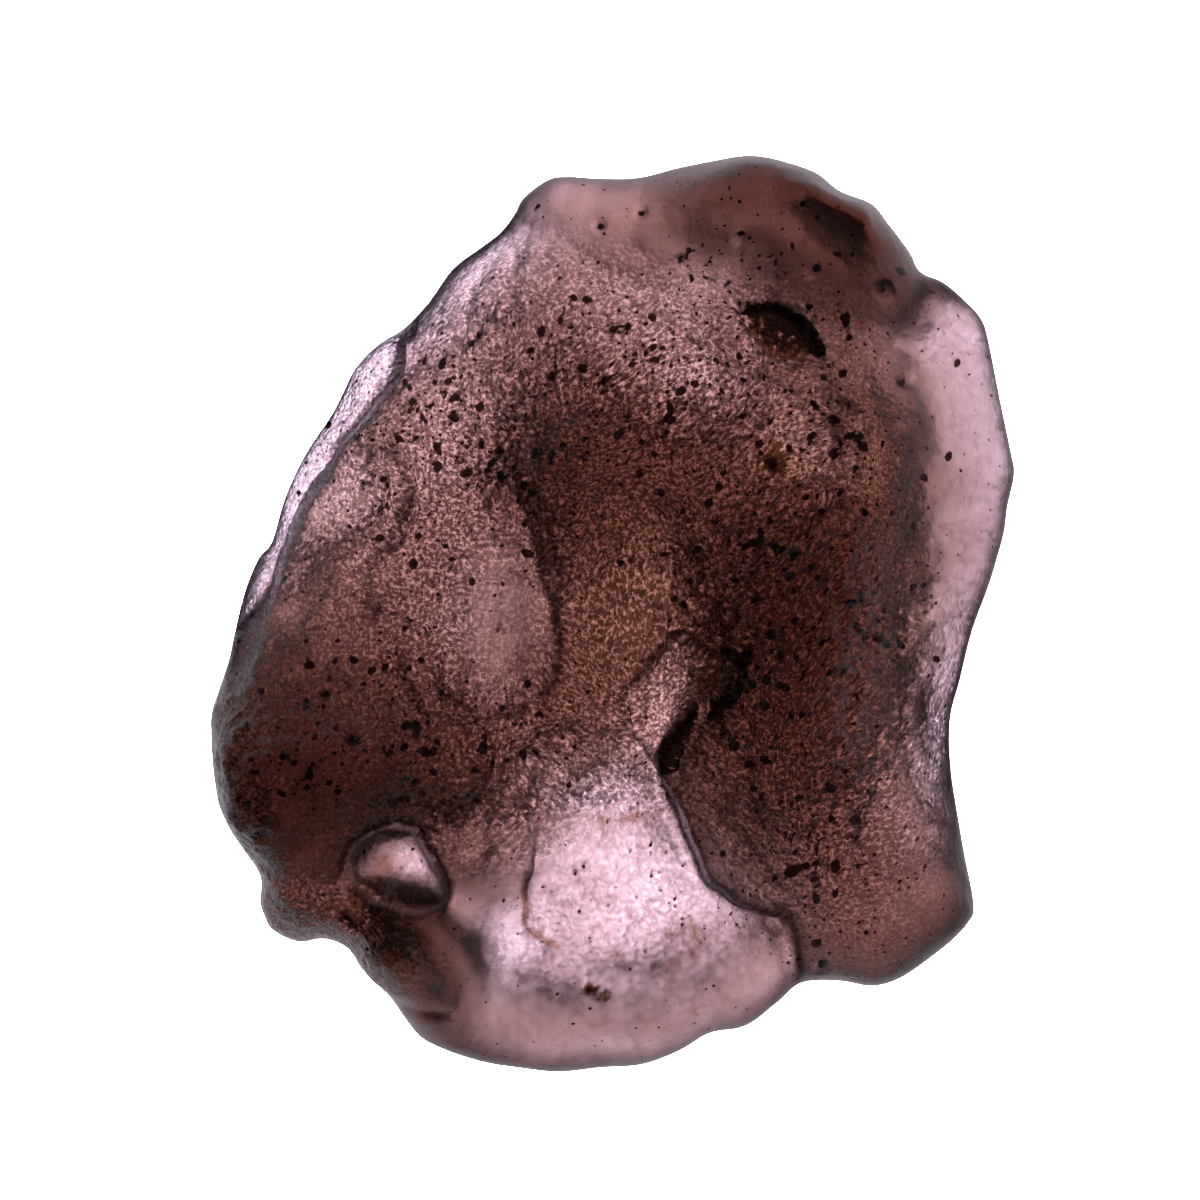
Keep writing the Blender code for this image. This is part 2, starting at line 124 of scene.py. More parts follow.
# %% Mounds
# Place, half-widths, height in millimetres, then turn in degrees and flatness where they aren't 0 and 2.4.
TOP_LUMPS = {
    "right mass": ((806, 620), (80, 160), 1.6, 0, 2.3),
    "right mass, low end": ((785, 790), (80, 110), 0.7),
    "right shoulder": ((862, 575), (60, 90), 0.6, 0, 2.0),
    "left of the right flange": ((874, 430), (44, 70), 1.7, 0, 2.2),
    "left mass": ((298, 788), (115, 112), 2.0, 0, 2.8),
    "darkest of the left mass": ((340, 755), (70, 55), 0.5),
    "left mass, inner end": ((448, 785), (80, 75), 1.4),
    "left rim": ((245, 800), (50, 110), 0.7, 0, 2.0),
    "knob of the tongue": ((711, 679), (15, 24), 0.35),
    "left knob": ((300, 905), (45, 35), 0.7, 0, 2.0),
    "middle swell": ((575, 462), (88, 56), 0.9, 10),
    "right of the long oval": ((590, 540), (34, 60), 0.4),
    "striped zone": ((646, 650), (74, 132), -1.65, 0, 3.2),
    "upper right lobe": ((850, 242), (95, 78), 1.4, -25, 2.6),
    "upper right rim": ((878, 238), (56, 64), 1.1, 20, 2.2),
    "top rim": ((755, 188), (115, 42), 1.2),
    "upper left rim": ((425, 305), (135, 58), -1.7, 42),
    "left edge": ((280, 560), (48, 110), -0.8, -12),
    "round hollow": ((806, 466), (62, 60), -2.0),
    "upper middle": ((675, 365), (95, 75), -2.1, -15),
    "upper left": ((480, 300), (140, 72), -1.1, 28),
    "left end of the top": ((520, 232), (52, 42), -0.5, 20, 2.2),
    "below the top": ((735, 283), (95, 40), -1.1, 0, 2.2),
    "left shoulder": ((478, 440), (62, 90), -2.0, -10),
    "oval by the left edge": ((362, 497), (42, 48), -0.9, 0, 2.6),
    "flake on the left rim": ((245, 645), (13, 42), -1.0, -12, 2.8),
    "long oval": ((500, 622), (72, 100), -1.6, -8),
    "window": ((603, 890), (125, 85), -2.2, 0, 2.6),
    "right of the tongue": ((733, 862), (40, 75), -1.0, 0, 2.2),
    "window, neck": ((588, 784), (86, 60), -2.6, 0, 2.2),
    "apron below the window": ((570, 985), (165, 75), -1.1, 5, 2.8),
    "right end of the apron": ((772, 925), (52, 58), -1.0),
    "foot": ((398, 966), (76, 64), 2.5, 20, 2.2),
    "above the dimple": ((425, 822), (55, 30), -0.8, 0, 2.2),
    "right of the dimple": ((474, 874), (36, 46), 1.1, 0, 2.2),
    "round the dimple": ((402, 866), (85, 70), -0.6, 0, 2.2),
    "smooth slope by the foot": ((492, 940), (54, 72), -1.3, 20),
    "lower right": ((830, 905), (70, 50), 0.4, 10, 2.2),
    "lower right rim": ((935, 890), (45, 50), 0.5, 0, 2.2),
    "right flange": ((1000, 430), (140, 240), -0.9, 0, 2.0),
    "top of the right flange": ((922, 325), (56, 60), -1.6, 0, 2.2),
    "right edge, below": ((925, 725), (72, 135), -1.8, 0, 2.0),
    "right edge, above": ((935, 620), (60, 200), -0.5, 0, 2.0),
}
UNDER_LUMPS = {
    "resting place": ((650, 600), (225, 225), 1.8, 0, 2.6),
    "below the window": ((610, 925), (175, 135), -1.2),
    "below the long oval": ((455, 600), (85, 110), -0.7, 0, 2.2),
    "below the left edge": ((305, 460), (100, 160), -1.6, -25),
    "below the top": ((570, 240), (190, 100), -1.0, 10),
    "below the right edge": ((985, 480), (110, 270), -1.6, 0, 2.3),
    "below the lower right edge": ((960, 770), (70, 140), -0.9),
    "below the left mass": ((310, 780), (125, 100), 0.8),
    "below the right mass": ((800, 650), (100, 200), 0.8),
    "below the upper right lobe": ((856, 250), (84, 74), 0.8, -25),
    "below the foot": ((402, 958), (70, 62), 1.2, 0, 2.2),
    "below the dimple": ((402, 872), (105, 90), -1.1, 0, 2.2),
}
# The same, with widths in pixels.
RIM_WIDTHS = {
    "blunt left side": ((225, 790), (60, 140), -42, 0, 2.6),
    "blunt lower left": ((330, 950), (85, 45), -36, -20),
    "blunt top right": ((830, 195), (150, 62), -40, -30, 2.6),
}
# The same, with heights in millimetres again.
RIM_LUMPS = {
    "below the window": ((600, 1070), (260, 150), -0.8),
    "right flange": ((1010, 440), (140, 220), -0.5),
    "left flange": ((310, 430), (120, 140), -0.5, -40),
    "top edge": ((590, 180), (120, 80), -0.4, 0, 2.2),
}


def mound(x, y, place, half, turn=0, flatness=2.4):
    """exp(-r^flatness), where r is the distance from the place in half-widths, along and beside the
    turn."""
    across, up = x - place[0], place[1] - y
    along = (across * np.cos(np.radians(turn)) + up * np.sin(np.radians(turn))) / half[0]
    beside = (up * np.cos(np.radians(turn)) - across * np.sin(np.radians(turn))) / half[1]
    return np.exp(-((along**2 + beside**2) ** (flatness / 2)))


def all_mounds(x, y, mounds, unit=1):
    """The sum of the mounds, each times its height in the unit."""
    forms = mounds.values()
    return sum(height * unit * mound(x, y, place, half, *form) for place, half, height, *form in forms)


print(len(TOP_LUMPS), "mounds shape the upper skin and", len(UNDER_LUMPS), "the under skin")

# %% [markdown]
# ## Ledges
#
# Where flakes and bubbles broke away, the skin drops over a sharp step: at the thin flange on the left,
# round the tongue that runs down into the bright window, round a dimple and round a burst bubble. A step is
# a loop, and the skin inside it is lowered by an amount that eases from 0 to 1 over a few pixels.

# %% Steps down inside loops
LEFT_FLANGE = (
    (412, 328), (400, 340), (396, 372), (385, 388), (367, 415), (344, 440), (338, 452), (336, 462),
    (322, 487), (305, 510), (288, 552), (262, 610), (200, 620), (200, 300), (400, 280),
)
TONGUE_AND_WINDOW = (
    (640, 672), (655, 655), (670, 640), (680, 637), (692, 644), (716, 658), (725, 672), (724, 688),
    (712, 700), (696, 706), (690, 718), (672, 745), (664, 775), (675, 800), (695, 850), (708, 882),
    (722, 892), (740, 903), (780, 915), (790, 930), (795, 950), (798, 985), (790, 1100), (430, 1100),
    (440, 1010), (520, 960), (528, 940), (525, 925), (531, 905), (526, 890), (531, 830), (523, 800),
    (560, 740), (600, 700),
)
ROUND_DIMPLE = (
    (350, 862), (355, 843), (371, 829), (395, 824), (416, 828), (430, 846), (440, 864), (449, 884),
    (446, 902), (415, 912), (380, 904), (356, 884),
)
OPEN_BUBBLE = (
    (731, 310), (750, 308), (780, 309), (796, 321), (809, 340), (817, 359), (792, 369), (775, 367),
    (757, 355), (743, 335),
)
LONG_OVAL = (
    (420, 640), (412, 590), (425, 540), (450, 500), (480, 480), (508, 482), (526, 508), (536, 540),
    (546, 580), (556, 612), (562, 645), (552, 690), (520, 712), (480, 712), (445, 690),
)
LEDGE_EASE = 3.5
FLANGE_DROP = 1.9 * MM
# How far the skin drops inside a loop, as mounds with heights in millimetres.
OVAL_DROPS = {
    "right side": ((535, 590), (50, 90), 0.9, 8),
    "lower end": ((480, 690), (70, 40), 0.3, 0, 2.2),
}
TONGUE_DROPS = {
    "by the knob": ((678, 695), (48, 70), 1.9, 0, 2.2),
    "right side of the window": ((678, 838), (75, 90), 1.6),
    "left side of the window": ((550, 880), (35, 80), 0.4),
    "below the window": ((730, 945), (90, 75), 0.7),
}
DIMPLE_DROPS = {
    "deepest at the top": ((392, 854), (88, 66), 2.7, 0, 2.6),
}
BUBBLE_DROP = 0.7 * MM


def to_line(x, y, line):
    """The distance to the nearest point of a line made of straight pieces."""
    nearest = np.full(np.shape(x), np.inf)
    for (ax, ay), (bx, by) in zip(line[:-1], line[1:]):
        run, rise = bx - ax, by - ay
        share = np.clip(((x - ax) * run + (y - ay) * rise) / (run**2 + rise**2), 0, 1)
        nearest = np.minimum(nearest, np.hypot(x - ax - share * run, y - ay - share * rise))
    return nearest


def is_inside(x, y, loop):
    """True where a line to the right crosses the loop an odd number of times."""
    inside = np.zeros(np.shape(x), bool)
    for (ax, ay), (bx, by) in zip(loop[:-1], loop[1:]):
        if ay != by:
            inside ^= ((ay > y) != (by > y)) & (x < ax + (y - ay) * (bx - ax) / (by - ay))
    return inside


def depth_inside(x, y, corners):
    """How far inside the smooth loop a place is, in pixels: less than 0 outside it."""
    loop = smooth(corners, True)
    return to_line(x, y, loop) * np.where(is_inside(x, y, loop), 1, -1)


def ledge(x, y, corners):
    """Half of 1 + tanh(depth inside the loop / the ledge's ease): 1 inside the loop and 0 outside it."""
    return 0.5 + 0.5 * np.tanh(depth_inside(x, y, corners) / LEDGE_EASE)


# %% [markdown]
# ## Cracks and creases
#
# Fine dark lines follow the joins between flakes and lumps. Each is a furrow along a line, as deep as given
# in its middle and gone a few pixels to each side. The same lines are later darkened, partly as dirt and
# partly as painted shade.

# %% Furrows along lines
# The line, its half-width in pixels, its depth in millimetres.
CREASES = {
    "side of the middle valley": (
        ((520, 490), (533, 520), (541, 550), (552, 580), (556, 605)), 10, 0.5
    ),
    "round the oval": (
        ((345, 458), (370, 455), (398, 462), (404, 490), (398, 520), (385, 545), (370, 562), (368, 582),
         (374, 605)), 9, 0.3
    ),
    "below the long oval": (((405, 660), (422, 700), (442, 715), (480, 718), (520, 710)), 8, 0.2),
    "gap beside the knob": (((722, 695), (706, 722), (688, 745), (680, 772)), 9, 0.6),
    "crack in the tongue": (((625, 700), (632, 735), (645, 752), (658, 770)), 5, 0.3),
    "from the bubble": (((815, 362), (818, 385), (826, 402), (850, 416), (862, 430)), 6, 0.3),
    "across the shoulder": (((700, 425), (715, 438), (732, 441), (755, 426), (766, 414)), 6, 0.3),
    "left side of the long oval": (((463, 560), (461, 600), (466, 640), (460, 690)), 6, 0.15),
    "beside the window": (((523, 800), (530, 850), (526, 890), (532, 925), (545, 948)), 6, 0.3),
    "edge of the tongue": (
        ((662, 775), (670, 800), (690, 850), (705, 883), (740, 903), (780, 915)), 6, 0.35
    ),
    "end of the tongue": (((780, 915), (790, 930), (796, 955), (798, 980)), 6, 0.3),
    "by the foot": (((405, 1002), (420, 1006), (450, 1010)), 6, 0.3),
}


def furrow(x, y, corners, half):
    """exp(-(distance / half-width) squared) along a smooth line."""
    return np.exp(-((to_line(x, y, smooth(corners, False)) / half) ** 2))


print(len(CREASES), "creases")

# %% [markdown]
# ## Two heights for every place
#
# A hollow could push the two skins through each other where the glass is thin, so the thickness between
# them levels off softly before it reaches the thinnest. At the rim both skins round over: they start at the
# rim's own height and rise to theirs like the side of a coin with a worn edge.

# %% Heights of the two skins
RIM_HEIGHT = 3.5 * MM
RIM_SWAY = 0.8 * MM
RIM_SWAY_SIZE = 340
RIM_SWAY_SEED = 4
RIM_WIDTH = 68
RIM_FULLNESS = 2.4
TOP_RISE = 2.3 * MM
UNDER_DROP = 2.2 * MM
THINNEST = 0.4 * MM
THINNING_EASE = 0.5 * MM
LATTICE = 16


def thinned(thickness):
    """The thinnest, plus half of (over + the root of over squared + ease squared), where over is the
    thickness above the thinnest: nearly the thickness itself, but never less than the thinnest."""
    over = thickness - THINNEST
    return THINNEST + 0.5 * (over + np.sqrt(over**2 + THINNING_EASE**2))


def unevenness(places, size, seed):
    """Random numbers from 0 to 1 on the corners of a lattice of cubes, eased between the eight corners."""
    table = np.random.default_rng(seed).uniform(0, 1, (LATTICE,) * 3)
    cell = np.floor(places / size).astype(int)
    share = places / size - cell
    share = share * share * (3 - 2 * share)
    total = 0
    for corner in np.ndindex(2, 2, 2):
        weight = np.prod(np.where(corner, share, 1 - share), axis=-1)
        i, j, k = np.moveaxis((cell + corner) % LATTICE, -1, 0)
        total = total + weight * table[i, j, k]
    return total


def level(x, y):
    """Places in pixels with a third number, 0, as unevenness needs them."""
    return np.stack([x, y, np.zeros(np.shape(x))], axis=-1)


def under_drop(x, y):
    """The under skin below the rim: its plain height, plus the mounds."""
    return UNDER_DROP + all_mounds(x, y, UNDER_LUMPS, MM)


def top_rise(x, y):
    """The upper skin above the rim: its plain height, plus the mounds, less the ledges and the creases,
    and no nearer to the under skin than the thinnest."""
    rise = TOP_RISE + all_mounds(x, y, TOP_LUMPS, MM)
    rise = rise - FLANGE_DROP * ledge(x, y, LEFT_FLANGE)
    rise = rise - all_mounds(x, y, TONGUE_DROPS, MM) * ledge(x, y, TONGUE_AND_WINDOW)
    rise = rise - all_mounds(x, y, OVAL_DROPS, MM) * ledge(x, y, LONG_OVAL)
    rise = rise - all_mounds(x, y, DIMPLE_DROPS, MM) * ledge(x, y, ROUND_DIMPLE)
    rise = rise - BUBBLE_DROP * ledge(x, y, OPEN_BUBBLE)
    for line, half, depth in CREASES.values():
        rise = rise - depth * MM * furrow(x, y, line, half)
    return thinned(rise + under_drop(x, y)) - under_drop(x, y)


def rim_height(x, y):
    """The rim's height, swayed up and down by a broad unevenness, and lower where its own mounds say."""
    sway = RIM_SWAY * (2 * unevenness(level(x, y), RIM_SWAY_SIZE, RIM_SWAY_SEED) - 1)
    return RIM_HEIGHT + sway + all_mounds(x, y, RIM_LUMPS, MM)


def fullness_at(x, y):
    """The root of 1 - short^fullness, where short falls from 1 at the rim to 0 at the rim's width inside
    it."""
    width = RIM_WIDTH + all_mounds(x, y, RIM_WIDTHS)
    short = 1 - np.clip(to_line(x, y, RIM) / width, 0, 1)
    return np.sqrt(1 - short**RIM_FULLNESS)


# %% [markdown]
# ## Two square sheets, stretched over the pebble
#
# A grid in polar form would have a pole in the middle with needle-thin faces. A square sheet has none: its
# border becomes the rim, and each square ring inside it becomes a ring inside the rim. Near the rim the
# rings crowd together, because there the skin turns over and stands nearly upright.

# %% From the square to the pebble
CELLS = 280
CROWDING = 0.12


def ring_share(far):
    """How far out a ring is, 0 at the hub and 1 at the rim: even inside, and crowding up towards the rim
    as the root of crowding squared + short squared, where short is how far the ring is from the
    border."""
    reach_in = np.sqrt(CROWDING**2 + (1 - far) ** 2) - CROWDING
    return 1 - reach_in / (np.sqrt(CROWDING**2 + 1) - CROWDING)


def rim_reach(angle):
    """How far the rim is from the hub in each direction, in pixels."""
    across, up = RIM[:, 0] - HUB[0], HUB[1] - RIM[:, 1]
    return np.interp(angle, np.arctan2(up, across), np.hypot(across, up), period=2 * np.pi)


def square_to_pixels(u, v):
    """The place in the photograph of each point of the square: its ring gives how far out it is, and its
    place along the ring's side gives the direction."""
    far = np.maximum(np.abs(u), np.abs(v))
    near = np.minimum(np.abs(u), np.abs(v))
    eighth = np.pi / 4 * near / np.maximum(far, 1e-9)
    angle = np.where(np.abs(u) >= np.abs(v), eighth, np.pi / 2 - eighth)
    angle = np.arctan2(np.sin(angle) * np.where(v < 0, -1, 1), np.cos(angle) * np.where(u < 0, -1, 1))
    reach = ring_share(far) * rim_reach(angle)
    return HUB[0] + reach * np.cos(angle), HUB[1] - reach * np.sin(angle)


side = np.linspace(-1, 1, CELLS + 1)
u, v = np.meshgrid(side, side, indexing="ij")
x, y = square_to_pixels(u, v)
on_border = np.maximum(np.abs(u), np.abs(v)) > 1 - 1e-6
fullness = np.where(on_border, 0, fullness_at(x, y))


def skin(height):
    """Places in metres of one sheet, whose height above or below the rim fades in with the fullness."""
    z = rim_height(x, y) + fullness * height
    return np.stack([(x - MIDDLE[0]) * PIXEL, (MIDDLE[1] - y) * PIXEL, z], axis=-1)


top_skin = skin(top_rise(x, y))
under_skin = skin(-under_drop(x, y))
thickness = top_skin[..., 2] - under_skin[..., 2]
print("thickest", round(thickness.max() / MM, 1), "mm")

# %% [markdown]
# ## Etching
#
# Acids in the ground ate the skin into swells within swells, from several millimetres down to a tenth of
# one. Each size is a layer of unevenness that pushes the skin in or out along its own facing, so that the
# steep sides are eaten as much as the flats. The two coarsest layers are also in the solid, and the finer
# ones fade where the regions say that the skin is smooth.

# %% Swells and open pits
# How broad the swells are in pixels, and how deep in millimetres.
ROUGHENING = ((105, 0.6), (46, 0.3), (23, 0.2), (12, 0.18), (7, 0.12))
COARSE_LAYERS = 2
LEAST_ETCHED = 0.25
# Regions are mounds too, with a share in place of the height.
ETCHED_REGIONS = {
    "all but the rims": ((615, 600), (340, 365), 1.0, 0, 5.0),
    "lower right": ((850, 850), (80, 120), 0.5),
    "window": ((620, 910), (130, 125), -0.95, 0, 3.0),
    "apron": ((600, 1010), (210, 70), -0.35, 0, 3.0),
    "right flange": ((985, 440), (75, 230), -0.8, 0, 2.6),
    "long oval": ((505, 615), (45, 80), -0.7, 0, 2.6),
    "top": ((730, 215), (200, 62), -0.5, -5, 3.0),
    "dimple": ((400, 862), (34, 28), -0.8, 0, 2.6),
    "smooth slope by the foot": ((478, 935), (48, 60), -0.8, 20, 2.6),
    "left rim": ((238, 800), (46, 150), 0.8, 0, 3.0),
    "left knob and foot": ((330, 930), (95, 50), 0.8, -25, 3.0),
}
TOP_PITS = (
    (359, 733, 11), (394, 748, 9), (531, 757, 11), (505, 706, 8), (540, 714, 9), (388, 666, 8),
    (445, 690, 8), (550, 376, 10), (496, 450, 9), (457, 397, 9), (606, 381, 9), (560, 322, 8),
    (478, 335, 8), (642, 442, 8), (612, 330, 8), (884, 295, 11), (810, 275, 9), (600, 228, 9),
    (738, 240, 8), (680, 262, 8), (820, 510, 10), (775, 462, 12), (757, 545, 10), (752, 600, 9),
    (740, 655, 12), (775, 655, 8), (800, 715, 8), (742, 765, 11), (845, 770, 8), (808, 880, 8),
    (860, 835, 8), (870, 640, 8), (405, 802, 8), (330, 690, 8), (300, 760, 8), (480, 800, 8),
    (268, 830, 9), (820, 965, 9), (350, 915, 10), (590, 985, 8), (640, 215, 8), (905, 380, 8),
)
UNDER_PITS = (
    (600, 560, 12), (690, 640, 10), (560, 680, 9), (720, 520, 10), (480, 360, 12),
    (760, 330, 10), (860, 420, 11), (880, 600, 12), (830, 760, 10), (740, 900, 11),
    (520, 880, 12), (390, 760, 11), (320, 640, 10), (420, 520, 9), (640, 240, 10),
    (600, 1000, 10), (300, 820, 11), (900, 860, 10),
)
PIT_DEPTH = 0.8


def covered(regions, px, py):
    """The sum of the regions, kept from 0 to 1."""
    return np.clip(all_mounds(px, py, regions), 0, 1)


def facing(places, way):
    """The outward direction at each point of a sheet: the cross product of its two grid directions."""
    along, beside = np.gradient(places, axis=0), np.gradient(places, axis=1)
    normal = way * np.cross(along, beside)
    return normal / np.linalg.norm(normal, axis=-1, keepdims=True)


def pitting(pits):
    """How deep the pits are: each is its depth times 1 - (distance / radius) squared, cut off at 0."""
    deep = np.zeros(np.shape(x))
    for px, py, radius in pits:
        bowl = 1 - ((x - px) ** 2 + (y - py) ** 2) / radius**2
        deep = np.maximum(deep, PIT_DEPTH * radius * PIXEL * np.maximum(bowl, 0))
    return deep


def etched(places, way, pits):
    """A sheet with its swells and pits, flat where the pebble rests. Where the upper skin swells out the
    under skin sinks in, so that thin glass keeps its thickness."""
    outward = facing(places, way)
    share = LEAST_ETCHED + (1 - LEAST_ETCHED) * covered(ETCHED_REGIONS, x, y)
    swell = np.zeros(np.shape(x))
    for layer, (size, depth) in enumerate(ROUGHENING):
        unshared = way * (depth * MM) * (unevenness(places, size * PIXEL, layer) - 0.5)
        swell = swell + (unshared if layer < COARSE_LAYERS else unshared * share)
    places = places + outward * ((swell - pitting(pits)) * fullness)[..., None]
    places[..., 2] = np.maximum(places[..., 2], 0)
    return places


top_skin = etched(top_skin, 1, TOP_PITS)
under_skin = etched(under_skin, -1, UNDER_PITS)
print("the skin rises to", round(top_skin[..., 2].max() / MM, 2), "mm")

# %% [markdown]
# ## Sewing the sheets together
#
# The upper skin is what the camera looks at, so it keeps every point of the sheet, and the under skin keeps
# every second one each way. The under sheet has no border points of its own: it borrows the upper sheet's,
# so the rim is closed by how the points are numbered and nothing has to be merged afterwards. The under
# sheet's faces run the other way round, so that they face down and out.

# %% One closed mesh
LEFT_OUT = -1

is_own = ~on_border
is_own[1::2, :] = False
is_own[:, 1::2] = False
top_number = np.arange(x.size).reshape(x.shape)
under_number = np.where(on_border, top_number, LEFT_OUT)
under_number[is_own] = x.size + np.arange(is_own.sum())


def upper_faces(number):
    """The four corner numbers of every cell of the sheet."""
    corners = (number[:-1, :-1], number[1:, :-1], number[1:, 1:], number[:-1, 1:])
    return np.stack(corners, axis=-1).reshape(-1, 4).tolist()


def under_faces(number):
    """The points round every cell that is two steps wide, without those that are left out: four corners,
    and on the border the middles of its sides as well."""
    near, mid, far = slice(None, -2, 2), slice(1, -1, 2), slice(2, None, 2)
    round_the_cell = (
        (near, near), (near, mid), (near, far), (mid, far), (far, far), (far, mid), (far, near), (mid, near),
    )
    cells = np.stack([number[step] for step in round_the_cell], axis=-1).reshape(-1, len(round_the_cell))
    return [[corner for corner in cell if corner != LEFT_OUT] for cell in cells.tolist()]


def joined(top_values, under_values):
    """Values at all points: the upper sheet's, then those of the under sheet's own points."""
    own_values = under_values[is_own].reshape(is_own.sum(), -1)
    return np.concatenate([top_values.reshape(x.size, -1), own_values])


def placed(name, data):
    """A new object in the scene, from its data."""
    made = bpy.data.objects.new(name, data)
    bpy.context.scene.collection.objects.link(made)
    return made


mesh = bpy.data.meshes.new("glass pebble")
faces = upper_faces(top_number) + under_faces(under_number)
mesh.from_pydata(joined(top_skin, under_skin), [], faces)
mesh.shade_smooth()
pebble = placed("glass_pebble", mesh)
print("the pebble has", sum(len(face) - 2 for face in faces), "triangles")

# %% [markdown]
# ## Where dirt and painted shade lie
#
# Dirt stays in what is sunk below its surroundings, and shade is painted there as well. How sunk a point is
# can be measured: smooth the sheet many times over, and see how far the point lies below the smoothed one.
# Broad patterns, the pits and the lines are worked out once at the mesh's points and stored there, which is
# far quicker than asking the material for them at every ray. Only what is finer than the mesh is left to the
# material. Some of them are painted light and shade: dark lines along creases and ledge edges, shadows in
# crescents, darker and lighter named places, and a lighter band along the rim.

# %% Regions
PITTED_REGIONS = {
    "upper middle": ((560, 400), (190, 90), 1.0, 12),
    "upper right": ((760, 420), (140, 110), 0.7),
    "right mass": ((800, 640), (110, 230), 1.0, 0, 2.8),
    "left mass": ((350, 740), (140, 90), 0.9),
    "top lobe": ((770, 250), (170, 70), 0.2, -10),
    "lower right": ((850, 880), (100, 80), 0.8),
    "left middle": ((420, 480), (110, 130), 0.5),
    "middle": ((540, 720), (90, 50), 0.6),
}
# Middle, direction of the streaks, half-widths, turn, flatness.
STREAKED_REGIONS = {
    "right mass": ((830, 640), 50, (105, 250), 0, 2.6),
    "upper middle": ((640, 390), 38, (110, 90), 0, 2.4),
    "valley": ((630, 600), 86, (60, 110), 0, 2.4),
}
COBBLED_REGIONS = {
    "window": ((615, 890), (120, 120), 1.0, 0, 3.0),
    "apron": ((600, 1000), (200, 70), 0.8, 5, 2.6),
    "right flange": ((960, 420), (50, 180), 0.5, 0, 2.6),
}
STAINS = {
    "below the bubble": ((775, 460), (16, 26), 1.0, 0, 2.2),
    "in the bubble": ((782, 336), (38, 24), 1.5, -35, 2.8),
    "by the dimple": ((370, 884), (18, 13), 0.8, 30, 2.2),
    "left knob": ((340, 908), (34, 24), 0.7, 0, 2.2),
    "foot": ((402, 945), (32, 52), 0.45, 20),
    "on the apron": ((590, 986), (10, 10), 1.0, 0, 2.2),
    "on the apron, second": ((607, 995), (9, 8), 0.8, 0, 2.2),
    "knob of the tongue": ((712, 682), (16, 26), 0.8, 0, 2.2),
    "right of the middle": ((757, 570), (22, 50), 0.5, 0, 2.2),
    "middle": ((505, 630), (26, 10), 0.6, 0, 2.2),
}
# Painted shadow: a dark crescent inside the open bubble.
PAINTED_SHADOWS = {
    "in the bubble": ((780, 336), (36, 22), 0.75, -35, 2.8),
}
# These are painted light and shade: they hold back a little more light than the rest as painted shade, or
# less as painted light where the number is below 0.
PAINTED_LIGHT_AND_SHADE = {
    "top": ((765, 225), (112, 42), -1.9, -10),
    "upper right lobe": ((832, 226), (34, 30), -1.6, 0, 2.2),
    "top of the right flange": ((925, 310), (35, 45), -0.6, 0, 2.2),
    "right flange": ((968, 540), (32, 115), 0.4, 0, 2.6),
    "upper middle": ((670, 385), (90, 45), -0.3),
    "upper left edge": ((480, 280), (110, 45), -0.4, 40),
    "left middle": ((395, 595), (40, 50), 0.15),
    "left mass": ((370, 770), (135, 105), 0.5, 0, 2.8),
    "valley": ((645, 630), (50, 38), 0.45, 0, 2.2),
    "right mass": ((800, 630), (75, 95), 0.45),
    "top of the window": ((595, 820), (85, 26), 0.45),
    "bottom of the window": ((625, 935), (130, 30), 0.3, 0, 2.6),
    "apron": ((650, 1012), (170, 30), 0.2, 5, 2.6),
    "slope by the foot": ((478, 952), (36, 48), -1.6, 25),
    "foot": ((414, 954), (50, 60), 0.7, 20),
    "lower right": ((880, 865), (42, 45), 0.3),
    "left end of the top": ((575, 215), (75, 42), -0.8, 10),
    "round hollow": ((806, 455), (62, 55), -0.5),
    "neck of the window": ((575, 782), (32, 26), -0.8, 0, 2.2),
    "right of the neck": ((674, 835), (24, 32), -0.5, 0, 2.2),
    "right slope": ((890, 500), (40, 160), -0.35),
    "left shoulder": ((395, 510), (70, 70), -0.4),
    "left flange": ((320, 430), (25, 75), -0.4, -30),
    "lower rim": ((590, 1056), (150, 18), -1.2, 0, 3.0),
    "left side of the dimple": ((376, 864), (22, 32), 0.55, 0, 2.2),
    "edge of the upper right lobe": ((893, 232), (15, 30), 0.6, 0, 2.2),
    "left edge": ((222, 690), (22, 45), -1.6, 0, 2.2),
}
CLEAN_REGIONS = {
    "apron": ((600, 1025), (215, 62), 1.0, 5, 3.0),
    "right flange": ((985, 430), (70, 240), 0.8, 0, 2.6),
    "slope by the foot": ((470, 950), (50, 60), 0.8, 20, 2.6),
}
BROWN_REGIONS = {
    "valley": ((640, 600), (75, 130), 1.0),
    "right mass": ((800, 620), (110, 160), 0.7),
    "right slope": ((885, 590), (40, 140), 0.8),
    "top": ((750, 235), (130, 60), 0.4),
    "round hollow": ((806, 450), (70, 60), 0.4),
}
# Where dark lines are painted along the ledges' edges, as painted shade at each step.
LINED_EDGES = {
    "right side of the tongue": ((720, 830), (80, 150), 1.0, 0, 3.0),
    "end of the tongue": ((780, 940), (40, 50), 1.0, 0, 3.0),
    "tip of the tongue": ((690, 650), (40, 30), 0.8, 0, 3.0),
    "left side of the window": ((525, 880), (20, 100), 0.7, 0, 3.0),
    "left flange": ((345, 430), (60, 110), 1.0, -30, 3.0),
    "dimple": ((375, 845), (30, 30), 1.0, 0, 3.0),
    "right side of the long oval": ((550, 600), (24, 90), 0.8, 0, 3.0),
}


# %% Pits strewn over the pitted regions
PITS_DRAWN = 6500
PIT_GROUP_SIZE = 55
GROUP_CONTRAST = 1.6
GROUP_START = 0.3
BETWEEN_GROUPS = 0.05
SMALLEST_PIT = 1.5
LARGEST_PIT = 4.6
LARGE_PIT_RARITY = 3.5
LONGEST_PIT = 1.7
STREWN_SEED = 11
NAMED_PIT_SHARE = 0.45
NO_PIT_NEAR = -3 * LARGEST_PIT

